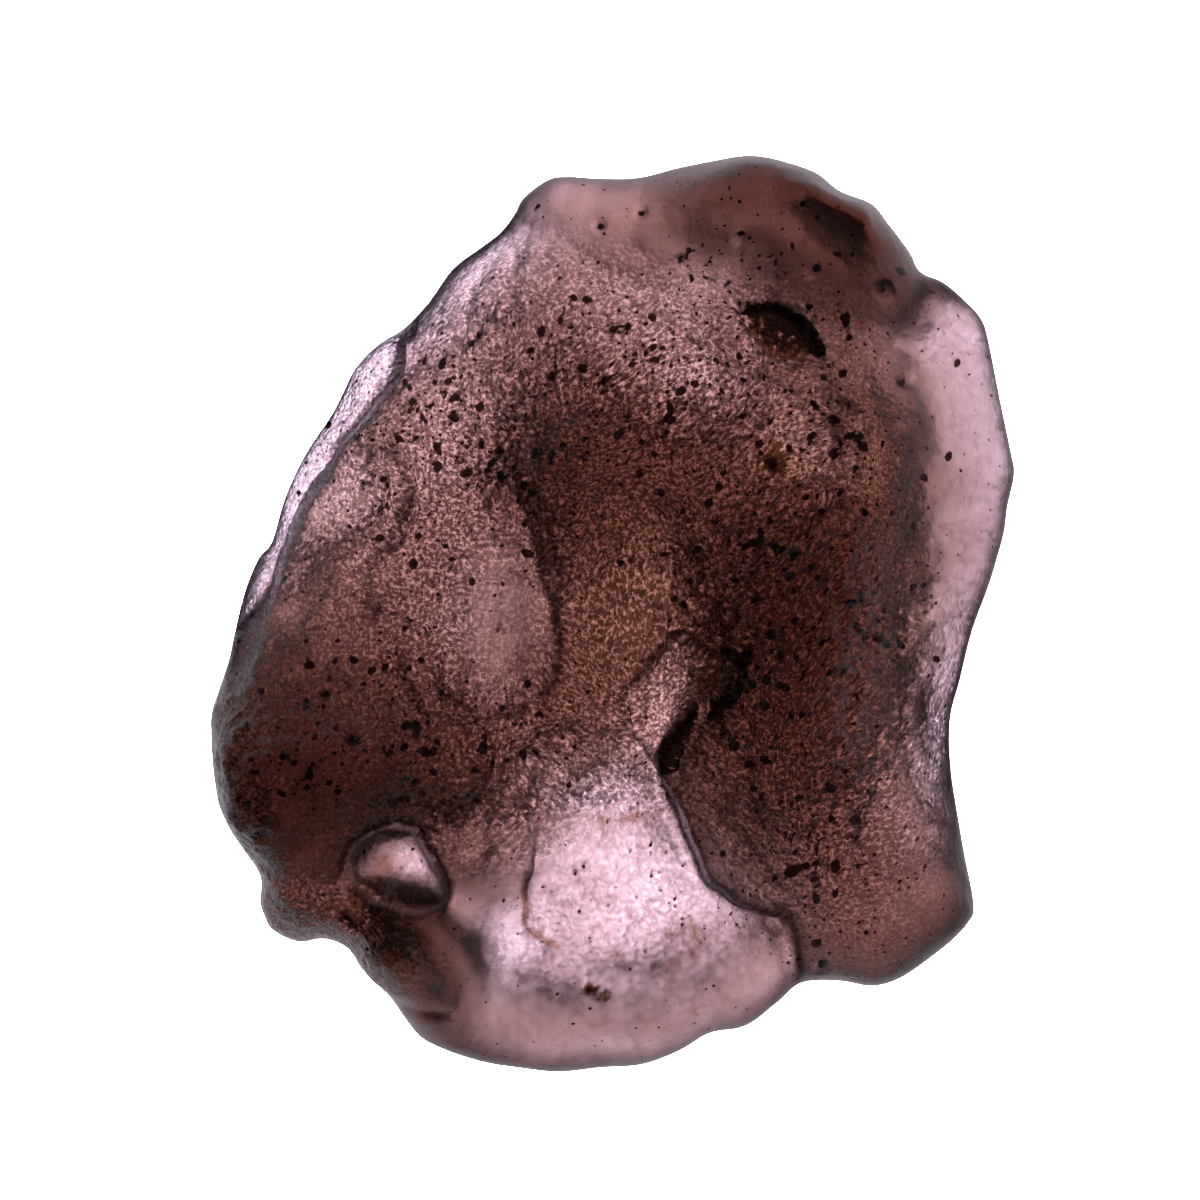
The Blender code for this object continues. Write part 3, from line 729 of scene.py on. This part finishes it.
draw = np.random.default_rng(STREWN_SEED)
pit_x = draw.uniform(RIM[:, 0].min(), RIM[:, 0].max(), PITS_DRAWN)
pit_y = draw.uniform(RIM[:, 1].min(), RIM[:, 1].max(), PITS_DRAWN)
group = unevenness(level(pit_x, pit_y), PIT_GROUP_SIZE, STREWN_SEED)
group_share = np.clip(GROUP_CONTRAST * group - GROUP_START, BETWEEN_GROUPS, 1)
is_kept = draw.uniform(0, 1, PITS_DRAWN) < covered(PITTED_REGIONS, pit_x, pit_y) * group_share
size_luck = draw.uniform(0, 1, PITS_DRAWN) ** LARGE_PIT_RARITY
pit_radius = SMALLEST_PIT + (LARGEST_PIT - SMALLEST_PIT) * size_luck
pit_length = draw.uniform(1, LONGEST_PIT, PITS_DRAWN)
pit_turn = draw.uniform(0, np.pi, PITS_DRAWN)
strewn_pits = np.stack([pit_x, pit_y, pit_radius, pit_length, pit_turn], axis=-1)[is_kept]
print(len(strewn_pits), "small pits are strewn")


def inside_pits():
    """How far inside the edge of the nearest pit a place is, in pixels: less than 0 outside it. The named
    pits are round, and the strewn ones are ovals, longer and turned by their own amounts."""
    depth = np.full(x.shape, NO_PIT_NEAR)
    for px, py, radius in TOP_PITS:
        depth = np.maximum(depth, NAMED_PIT_SHARE * radius - np.hypot(x - px, y - py))
    for px, py, radius, length, turn in strewn_pits:
        along = ((x - px) * np.cos(turn) + (y - py) * np.sin(turn)) / length
        beside = (y - py) * np.cos(turn) - (x - px) * np.sin(turn)
        depth = np.maximum(depth, radius - np.hypot(along, beside))
    return depth


# %% Sunk places, lines and flat patterns
SMOOTHINGS = 8
SUNK_SCALE = 0.12 * MM
SUNK_FADE = 3
EDGE_REACH = 30
LINE_SHARE = 0.5
PATCHES = ((60, 0.2), (26, 0.25), (11, 0.25))
PATCH_SEED = 30
WAVE_SIZE = 17
WAVE_DEPTH = 5
WAVE_SEED = 20
SIDE_HEIGHT = 2.2 * MM
STREAK_LENGTH = 1.7
LEAST_PITTED = 0.1
LEAST_COBBLED = 0.2
UNDER_SHARES = {"pitted": 0.4, "grained": 0.3, "cobbled": 0.3}
UNDER_SMOKE = 0.5
# The line and its half-width in pixels, for each painted shadow: dark crescents in the open bubble, round
# the tongue's knob and below it.
SHADOW_CRESCENTS = (
    (((748, 309), (772, 309), (792, 320), (806, 336), (815, 352)), 8),
    (((722, 650), (736, 660), (740, 680), (728, 702), (712, 716)), 8),
    (((694, 712), (684, 732), (674, 750), (668, 772)), 8),
)
# The line, its half-width in pixels, and how much smoke it holds: painted dark lines, partly cracks and
# partly painted shade along grooves and edges.
TRACES = {
    "left of the window": (
        ((533, 787), (533, 832), (523, 883), (525, 905), (525, 923), (534, 934), (557, 948)), 3.5, 0.9
    ),
    "arc in the window": (((574, 879), (581, 887), (597, 897), (612, 897)), 5, 0.4),
    "arc below the window": (
        ((615, 955), (623, 966), (641, 972), (662, 970), (688, 957), (699, 937)), 7, 0.45
    ),
    "top of the window": (((540, 814), (583, 811), (612, 821), (641, 820), (662, 812)), 7, 0.35),
    "crack above the window": (((597, 760), (597, 782), (605, 807)), 3.5, 0.5),
    "ring on the apron": (
        ((764, 918), (770, 932), (781, 932), (786, 920), (778, 910), (767, 910), (764, 918)), 3.5, 0.6
    ),
    "round the oval": (
        ((333, 468), (345, 458), (370, 455), (398, 462), (404, 490), (398, 520), (372, 562), (368, 582),
         (374, 625)), 6, 0.4
    ),
    "right of the long oval": (LONG_OVAL[5:11], 8, 0.3),
    "below the long oval": (((445, 690), (480, 712), (520, 714), (548, 700)), 7, 0.3),
}
# Painted light: a band along the rim is tinted bluer and made lighter.
RIM_LIGHT_SHARE = 0.6
RIM_LIGHT_WIDTH = 45
CLEAN_AND_RIM_LIGHT_GAIN = 0.3


def smoothed(places):
    """Each point moved to the mean of its four neighbours, many times over, with the border held."""
    for _ in range(SMOOTHINGS):
        inner = (places[:-2, 1:-1] + places[2:, 1:-1] + places[1:-1, :-2] + places[1:-1, 2:]) / 4
        places = places.copy()
        places[1:-1, 1:-1] = inner
    return places


def sunk(places, way):
    """How far a point lies below the smoothed sheet, along its facing, as a share of the scale."""
    below = np.sum((smoothed(places) - places) * facing(places, way), axis=-1)
    return np.clip(below / SUNK_SCALE, -1, 1) * np.minimum(SUNK_FADE * fullness, 1)


def from_edges():
    """How far outside the nearest ledge's loop a place is, in pixels: less than 0 inside it."""
    gap = np.full(x.shape, float(EDGE_REACH))
    for corners in (LEFT_FLANGE, TONGUE_AND_WINDOW, ROUND_DIMPLE, LONG_OVAL):
        far = -depth_inside(x, y, corners)
        gap = np.where(np.abs(far) < np.abs(gap), far, gap)
    return gap


def laid_out():
    """Places on the sheet in millimetres as if its steep sides were folded down flat: each place is moved
    away from the hub as its fullness fades, shaken a little by two unevennesses, and in the streaked
    regions squeezed towards the region's middle along the streaks, so that a pattern laid on them is
    drawn out that way."""
    flat = level(x, y)
    reach = np.hypot(x - HUB[0], y - HUB[1])[..., None]
    outward = (flat - (*HUB, 0)) / np.maximum(reach, 1)
    folded = flat + outward * (1 - fullness[..., None]) * SIDE_HEIGHT / PIXEL
    for axis in (0, 1):
        folded[..., axis] += WAVE_DEPTH * (unevenness(flat, WAVE_SIZE, WAVE_SEED + axis) - 0.5)
    for middle, turn, *form in STREAKED_REGIONS.values():
        along = np.array([np.cos(np.radians(turn)), -np.sin(np.radians(turn)), 0])
        share = mound(x, y, middle, *form) * (1 - 1 / STREAK_LENGTH)
        folded -= (share * ((flat - (*middle, 0)) @ along))[..., None] * along
    return folded * PIXEL / MM


def smokiness():
    """Patches within patches that hold back a little light."""
    layers = enumerate(PATCHES, PATCH_SEED)
    return sum(share * unevenness(level(x, y), size, seed) for seed, (size, share) in layers)


def store(name, top_values, under_values, kind="FLOAT"):
    """Values at every point, stored on the mesh under a name."""
    layer = mesh.attributes.new(name, kind, "POINT")
    values = joined(top_values, under_values).ravel()
    layer.data.foreach_set("value" if kind == "FLOAT" else "vector", values)


none = np.zeros(x.shape)
# Dark lines along the creases, partly dirt and partly painted shade.
crease_lines = sum(furrow(x, y, line, LINE_SHARE * half) for line, half, _ in CREASES.values())
traced = sum(share * furrow(x, y, line, half) for line, half, share in TRACES.values())
# Painted shadows: the crescents.
crescent_shadows = covered(PAINTED_SHADOWS, x, y) + sum(furrow(x, y, line, half) for line, half in SHADOW_CRESCENTS)
# Painted light along the rim, joined with the clean places, which are tinted bluer as the skin's own colour.
painted_rim_light = RIM_LIGHT_SHARE * np.clip(1 - to_line(x, y, RIM) / RIM_LIGHT_WIDTH, 0, 1)
clean_and_rim_light = np.maximum(covered(CLEAN_REGIONS, x, y), painted_rim_light)
upper_patterns = {
    "pitted": np.maximum(covered(PITTED_REGIONS, x, y), LEAST_PITTED),
    "grained": covered(ETCHED_REGIONS, x, y),
    "cobbled": np.maximum(covered(COBBLED_REGIONS, x, y), LEAST_COBBLED),
    "stained": covered(STAINS, x, y),
    "lined": covered(LINED_EDGES, x, y),
    "clean_and_rim_light": clean_and_rim_light,
    "brown": covered(BROWN_REGIONS, x, y),
    # Painted light and shade: darker in named places and along traced lines, lighter by the clean places and
    # rim.
    "painted_light_and_shade": all_mounds(x, y, PAINTED_LIGHT_AND_SHADE) + traced - CLEAN_AND_RIM_LIGHT_GAIN * clean_and_rim_light,
    "creased": np.clip(crease_lines, 0, 1),
    "shadow_crescent": np.clip(crescent_shadows, 0, 1),
}
for name, values in upper_patterns.items():
    store(name, values, none + UNDER_SHARES.get(name, 0))
patchy, unfolded = smokiness(), laid_out()
store("smoky", patchy, UNDER_SMOKE * patchy)
# How sunk each point is, which later darkens crevices, partly as dirt and partly as painted shade.
store("sunk", sunk(top_skin, 1), sunk(under_skin, -1))
store("from_edges", from_edges(), none + EDGE_REACH)
store("inside_pits", inside_pits(), none - EDGE_REACH)
store("laid_out", unfolded, unfolded, "FLOAT_VECTOR")
print("stored:", [a.name for a in mesh.attributes])

# %% [markdown]
# ## The glass
#
# Real glass of this kind is clear and evenly tinted: it looks dark only where light has far to go. So the
# smoke is a plain absorption inside the closed mesh, the same everywhere, and the thickness does the rest.
# The etched skin scatters light a little, which is roughness, and its grain is too fine for the mesh, which
# is bump. Dirt lies on the skin and holds light back, so it is a dark colour there, and the light must pass
# it. The same dark colour is painted in as shade in crevices, along creases and ledge edges, and as shadows
# in crescents.
#
# Thickness alone doesn't give this pebble's light and dark, so light and shade are also painted into the
# skin as a little smoke of its own: speckles, whose few bright ones are painted glints, cobbles and soft
# patches everywhere, and more or less of it in the named places of painted light and shade and along the
# traced lines, whose shares were set beside the photograph. The named clean places are tinted bluer, the
# band by the rim bluer and lighter as painted light, and the brown ones browner.

# %% Node helpers
glass = bpy.data.materials.new("smoky etched glass")
glass.use_nodes = True
nodes, links = glass.node_tree.nodes, glass.node_tree.links
nodes.clear()


def add(kind, inputs=(), **settings):
    """A shader node with its settings, and with numbers or other nodes' outputs put into its inputs."""
    made = nodes.new("ShaderNode" + kind)
    for name, value in settings.items():
        setattr(made, name, value)
    for name, value in dict(inputs).items():
        if isinstance(value, bpy.types.NodeSocket):
            links.new(value, made.inputs[name])
        else:
            made.inputs[name].default_value = value
    return made


def calc(operation, *values):
    """The result of one sum."""
    return add("Math", dict(enumerate(values)), operation=operation).outputs[0]


plus, minus, times = (partial(calc, sum_of_two) for sum_of_two in ("ADD", "SUBTRACT", "MULTIPLY"))


def kept(value):
    """A value kept from 0 to 1."""
    return add("Clamp", {"Value": value}).outputs[0]


def eased(value, start, end):
    """0 below the start, 1 above the end, and eased between."""
    inputs = {"Value": value, "From Min": start, "From Max": end}
    return add("MapRange", inputs, interpolation_type="SMOOTHSTEP").outputs["Result"]


def ranged(value, low_end, high_end):
    """A value from 0 to 1 spread from the low end to the high end."""
    inputs = {"Value": value, "To Min": low_end, "To Max": high_end}
    return add("MapRange", inputs).outputs["Result"]


def stored(name):
    """The value that is stored at the mesh's points under a name."""
    return add("Attribute", attribute_name=name).outputs["Fac"]


def mixed(share, first, second):
    """The second colour over the first, by the share."""
    return add("Mix", {0: share, 6: first, 7: second}, data_type="RGBA").outputs[2]


laid = add("Attribute", attribute_name="laid_out").outputs["Vector"]


def cloud(per_mm, detail, roughness=0.5, at=laid):
    """Soft flat noise from 0 to 1, with so many lumps in a millimetre."""
    inputs = {"Vector": at, "Scale": per_mm, "Detail": detail, "Roughness": roughness}
    return add("TexNoise", inputs, noise_dimensions="2D").outputs["Fac"]


def cells(per_mm, at=laid):
    """Flat cells round strewn points: how far the nearest point is, and two random numbers for its cell."""
    inputs = {"Vector": at, "Scale": per_mm}
    node = add("TexVoronoi", inputs, feature="F1", voronoi_dimensions="2D")
    luck = add("SeparateColor", {"Color": node.outputs["Color"]})
    return node.outputs["Distance"], luck.outputs[0], luck.outputs[1]


# %% [markdown]
# ### Grain, painted glints and cobbles
#
# Close up the etched skin is a crowd of bright specks on a darker ground. The specks are a fine cloud that
# leaves only a few places clear of smoke: grain, and painted glints of light off small facets. The facets
# are also tilted their own ways in the normal, by cells round strewn points. On the thin bright parts the
# skin has soft cobbles instead, on an even ground.

# %% Patterns of smoke
RAGGED_PER_MM = 4.5
FACETS_PER_MM = 8.0
COBBLES_PER_MM = 2.6
COBBLE_GAPS = (0.1, 0.9)
COBBLE_LUCK = 0.3
PATCH_RANGE = (0.2, 0.55)
SPECKS_PER_MM = 7.0
SPECK_CONTRAST = 6.5
GROUND_SMOKE = 0.93
# How much painted shade deepens the ground of the grained parts, and how much less it dims their specks.
PAINTED_SHADE_ON_GROUND = 0.7
PAINTED_SHADE_OFF_SPECKS = 0.8
EVEN_SMOKE = 0.84
COBBLE_SMOKE = 0.34
PATCH_SMOKE = 0.42

ragged = minus(cloud(RAGGED_PER_MM, detail=2, roughness=0.6), 0.5)
facet_luck, facet_lean = cells(FACETS_PER_MM)[1:]
# Painted glints: the few bright specks left clear of smoke stand in for light off small facets, as well as
# grain.
grain_and_glint_specks = times(minus(cloud(SPECKS_PER_MM, detail=2, roughness=0.8), 0.5), SPECK_CONTRAST)
# Painted shade on the grained parts.
painted_shade_on_grain = times(calc("MAXIMUM", stored("painted_light_and_shade"), 0), stored("grained"))
ground = plus(times(painted_shade_on_grain, PAINTED_SHADE_ON_GROUND), GROUND_SMOKE)
grain_and_glints = kept(plus(plus(grain_and_glint_specks, ragged), ground))
cobble_gap, cobble_luck, _ = cells(COBBLES_PER_MM)
cobbles = plus(eased(cobble_gap, *COBBLE_GAPS), times(cobble_luck, COBBLE_LUCK))
by_grain = {0: stored("grained"), 2: EVEN_SMOKE, 3: grain_and_glints}
from_grain = add("Mix", by_grain, data_type="FLOAT").outputs[0]
from_cobbles = times(times(cobbles, stored("cobbled")), COBBLE_SMOKE)
from_patches = times(eased(stored("smoky"), *PATCH_RANGE), PATCH_SMOKE)
# Painted light and shade by place.
from_painted_light_and_shade = minus(stored("painted_light_and_shade"), times(painted_shade_on_grain, PAINTED_SHADE_OFF_SPECKS))
from_place = plus(plus(from_cobbles, from_patches), from_painted_light_and_shade)
left_clear = times(minus(1, from_grain), minus(1, from_place))
smoke_share = kept(minus(1, left_clear))

# %% [markdown]
# ### Pits, dirt, painted shade and stains
#
# The smallest pits are dots, so they are made from a pattern of cells: a dot round each cell's middle, with
# a random size for each cell, and none in most of them. The stored pits and lines get ragged edges from a
# cloud. Crevices and creases are darkened, partly as dirt and partly as painted shade; the lines along the
# ledges' edges are painted shade, and the crescents are painted shadows. Stains are patches of rust, broken
# up by the same cloud.

# %% Dots, pits, lines and stains
DOTS_PER_MM = 3.6
SMALLEST_DOT = 0.12
LARGEST_DOT = 0.30
SHARE_WITH_DOT = 0.75
DOT_EDGE = 0.09
DOT_RAGGEDNESS = 0.5
PIT_RAGGEDNESS = 2.5
LINE_RAGGEDNESS = 4.0
STAIN_RAGGEDNESS = 2
# Where each pattern starts to show, and where it shows in full; an edge's line fades out again.
PIT_RANGE = (-0.6, 0.5)
CREVICE_RANGE = (0.2, 0.7)
CREASE_RANGE = (0.5, 1.2)
EDGE_RANGE = (-2, 0)
EDGE_FADE = (2, 6)
CRESCENT_RANGE = (0.4, 0.7)
STAIN_RANGE = (0.35, 0.8)
BROWN_SPECK_RANGE = (0.05, 0.3)
BROWN_SPECK_SHARE = 0.5
LINE_DARKNESS = 0.85
CREVICE_DARKNESS = 0.6

dot_gap, dot_luck, _ = cells(DOTS_PER_MM)
has_dot = times(stored("pitted"), SHARE_WITH_DOT)
over = calc("DIVIDE", minus(dot_luck, minus(1, has_dot)), has_dot)
dot_radius = ranged(times(over, over), SMALLEST_DOT, LARGEST_DOT)
inside_dot = minus(plus(dot_radius, times(ragged, DOT_RAGGEDNESS)), dot_gap)
dots = times(calc("GREATER_THAN", over, 0), kept(calc("DIVIDE", inside_dot, DOT_EDGE)))
pits = eased(plus(stored("inside_pits"), times(ragged, PIT_RAGGEDNESS)), *PIT_RANGE)
# Crevices and creases darken, partly as dirt and partly as painted shade.
crevice = eased(plus(stored("sunk"), ragged), *CREVICE_RANGE)
crease_dirt_and_shade = eased(plus(stored("creased"), ragged), *CREASE_RANGE)
# Painted shade: a dark line along each ledge's edge.
edge_gap = plus(stored("from_edges"), times(ragged, LINE_RAGGEDNESS))
edge_line = times(eased(edge_gap, *EDGE_RANGE), minus(1, eased(edge_gap, *EDGE_FADE)))
edge_shade = times(edge_line, stored("lined"))
# Painted shadows in crescents.
shadow_crescent = eased(plus(stored("shadow_crescent"), ragged), *CRESCENT_RANGE)
stain = eased(times(stored("stained"), plus(times(ragged, STAIN_RAGGEDNESS), 1)), *STAIN_RANGE)
brown_specks = times(eased(ragged, *BROWN_SPECK_RANGE), times(stored("pitted"), BROWN_SPECK_SHARE))
stain = calc("MAXIMUM", stain, brown_specks)
# Dark lines: dirt and painted shade along the creases, painted shade along the ledges' edges.
lines = times(calc("MAXIMUM", crease_dirt_and_shade, edge_shade), LINE_DARKNESS)
pits_and_shadows = calc("MAXIMUM", calc("MAXIMUM", dots, pits), shadow_crescent)
dirt_and_painted_shade = calc("MAXIMUM", pits_and_shadows, calc("MAXIMUM", lines, times(crevice, CREVICE_DARKNESS)))

# %% Tint, grain and shader
CLEAR_TINT = (0.94, 0.745, 1.0, 1)
# The clean places' bluer tint, which is also painted light along the rim.
CLEAN_AND_RIM_LIGHT_TINT = (0.60, 0.64, 1.0, 1)
BROWN_TINT = (1.0, 0.67, 0.68, 1)
SMOKE_TINT = (0.035, 0.013, 0.010, 1)
DIRT_AND_SHADE = (0.0004, 0.00015, 0.0001, 1)
RUST = (0.03, 0.010, 0.003, 1)
BENDING = 1.49
GLOSS = 0.15
ABSORPTION_DENSITY = 760
ABSORPTION_COLOUR = (0.42, 0.26, 0.14, 1)
SHEEN_TINT = (0.35, 0.27, 0.27, 1)
SWELLS_PER_MM = 3.4
SWELL_SHARES = (0.35, 1.0)
GRAIN_DEPTH = 0.06 * MM
FACET_TILT = 1.1
ROUGHNESS_RANGE = (0.28, 0.38)

clear_tint = mixed(stored("brown"), mixed(stored("clean_and_rim_light"), CLEAR_TINT, CLEAN_AND_RIM_LIGHT_TINT), BROWN_TINT)
tint = mixed(smoke_share, clear_tint, SMOKE_TINT)
tint = mixed(stain, tint, RUST)
# One dark colour for dirt, and for painted shade and shadow.
tint = mixed(dirt_and_painted_shade, tint, DIRT_AND_SHADE)
swell_height = cloud(SWELLS_PER_MM, detail=1, roughness=0.7)
swell_share = ranged(stored("grained"), *SWELL_SHARES)
swell_inputs = {"Height": swell_height, "Distance": GRAIN_DEPTH, "Strength": swell_share}
swells = add("Bump", swell_inputs)
lean = add("CombineXYZ", {0: minus(facet_luck, 0.5), 1: minus(facet_lean, 0.5)})
lean_share = times(stored("grained"), FACET_TILT)
tilt = add("VectorMath", {0: lean.outputs[0], "Scale": lean_share}, operation="SCALE")
tilted = add("VectorMath", {0: swells.outputs["Normal"], 1: tilt.outputs[0]}, operation="ADD")
grain = add("VectorMath", {0: tilted.outputs[0]}, operation="NORMALIZE")
roughness = ranged(plus(ragged, 0.5), *ROUGHNESS_RANGE)
shader = add(
    "BsdfPrincipled",
    {
        "Base Color": tint,
        "Roughness": roughness,
        "Normal": grain.outputs[0],
        "IOR": BENDING,
        "Transmission Weight": 1.0,
        "Specular IOR Level": GLOSS,
        "Specular Tint": SHEEN_TINT,
    },
)
smoke = add("VolumeAbsorption", {"Color": ABSORPTION_COLOUR, "Density": ABSORPTION_DENSITY})
add("OutputMaterial", {"Surface": shader.outputs["BSDF"], "Volume": smoke.outputs["Volume"]})
mesh.materials.append(glass)
print("the glass has", len(nodes), "nodes")

# %% [markdown]
# ## The pebble takes the solid's place

# %% Hand over
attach(pebble, "root")
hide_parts("tektite")

# %% [markdown]
# ## Light table, room and camera
#
# The pebble lies on a pale sheet that glows a little, and a bright lamp shines up through the sheet from
# well below. A plainly glowing table would show no relief in clear glass, because bent rays would find it
# as bright as straight ones. Here a ray that a slope of the skin bends to one side misses the brightest
# part of the lamp, so slopes show darker. The lamp is a little to the lower left, which darkens the slopes
# that face it. The room is dim overhead, so that the dark glass isn't veiled by reflections.

# %% Sheet and lamp
FRAME_PIXELS = 1200
TABLE_GAP = 0.05 * MM
TABLE_HALF = 1.5
SHEET_GLOW = 0.5
SHEET_COLOUR = (0.96, 0.88, 1.0, 1)
SHEET_CLEARNESS = 0.6
LAMP_DEPTH = 0.3
LAMP_HALF = 0.5
LAMP_PLACE = (-0.05, -0.03)
LAMP_GLOW = 15.3
LAMP_WIDTH = 0.18


def flat_square(name, half, depth):
    """A level square under the pebble, and its material's empty nodes."""
    square = bpy.data.meshes.new(name)
    ends = [(-half, -half), (half, -half), (half, half), (-half, half)]
    square.from_pydata([(cx, cy, -depth) for cx, cy in ends], [], [(0, 1, 2, 3)])
    shown = placed(name, square)
    material = bpy.data.materials.new(name)
    material.use_nodes = True
    material.node_tree.nodes.clear()
    square.materials.append(material)
    return material.node_tree


def glowing(glow_inputs, clear_inputs=()):
    """A surface that glows and also lets light through."""
    glow = add("Emission", glow_inputs)
    clear = add("BsdfTransparent", clear_inputs)
    both = add("AddShader", {0: glow.outputs[0], 1: clear.outputs[0]})
    add("OutputMaterial", {"Surface": both.outputs[0]})


tree = flat_square("pale_sheet", TABLE_HALF, TABLE_GAP)
nodes, links = tree.nodes, tree.links
glowing({"Color": SHEET_COLOUR, "Strength": SHEET_GLOW}, {"Color": (SHEET_CLEARNESS,) * 3 + (1,)})

# The lamp's glow is exp(-(distance from its middle / its width) squared), and past it the room shows through.
tree = flat_square("lamp", LAMP_HALF, LAMP_DEPTH)
nodes, links = tree.nodes, tree.links
here = add("TexCoord").outputs["Object"]
lamp_middle = (*LAMP_PLACE, -LAMP_DEPTH)
from_middle = add("VectorMath", {0: here, 1: lamp_middle}, operation="DISTANCE")
far = calc("DIVIDE", from_middle.outputs["Value"], LAMP_WIDTH)
falling = calc("POWER", np.e, times(times(far, far), -1))
glowing({"Strength": times(falling, LAMP_GLOW)})
bpy.data.objects["lamp"].visible_glossy = False

# %% Room
# How high a direction points, from 0 for level to 1 for straight up, and the room's colour there.
ROOM_COLOURS = {
    0.15: (0.42, 0.38, 0.40, 1),
    0.6: (0.05, 0.045, 0.05, 1),
}

world = bpy.data.worlds.new("pale room")
world.use_nodes = True
bpy.context.scene.world = world
nodes, links = world.node_tree.nodes, world.node_tree.links
way = add("SeparateXYZ", {0: add("TexCoord").outputs["Generated"]})
fade = add("ValToRGB", {"Fac": way.outputs["Z"]})
for stop, (height, colour) in zip(fade.color_ramp.elements, ROOM_COLOURS.items()):
    stop.position = height
    stop.color = colour
links.new(fade.outputs["Color"], nodes["Background"].inputs["Color"])

# %% Camera
LENS = 250
SENSOR = 36
NEAREST_SEEN = 0.01

frame_width = FRAME_PIXELS * PIXEL
camera_data = bpy.data.cameras.new("camera")
camera_data.lens = LENS
camera_data.sensor_width = SENSOR
camera_data.clip_start = NEAREST_SEEN
camera = placed("camera", camera_data)
camera.location = (
    (FRAME_PIXELS / 2 - MIDDLE[0]) * PIXEL,
    (MIDDLE[1] - FRAME_PIXELS / 2) * PIXEL,
    RIM_HEIGHT + frame_width / SENSOR * LENS,
)
bpy.context.scene.camera = camera
bpy.context.scene.view_settings.view_transform = "Standard"
print("the camera is", round(camera.location.z, 3), "m above the table")
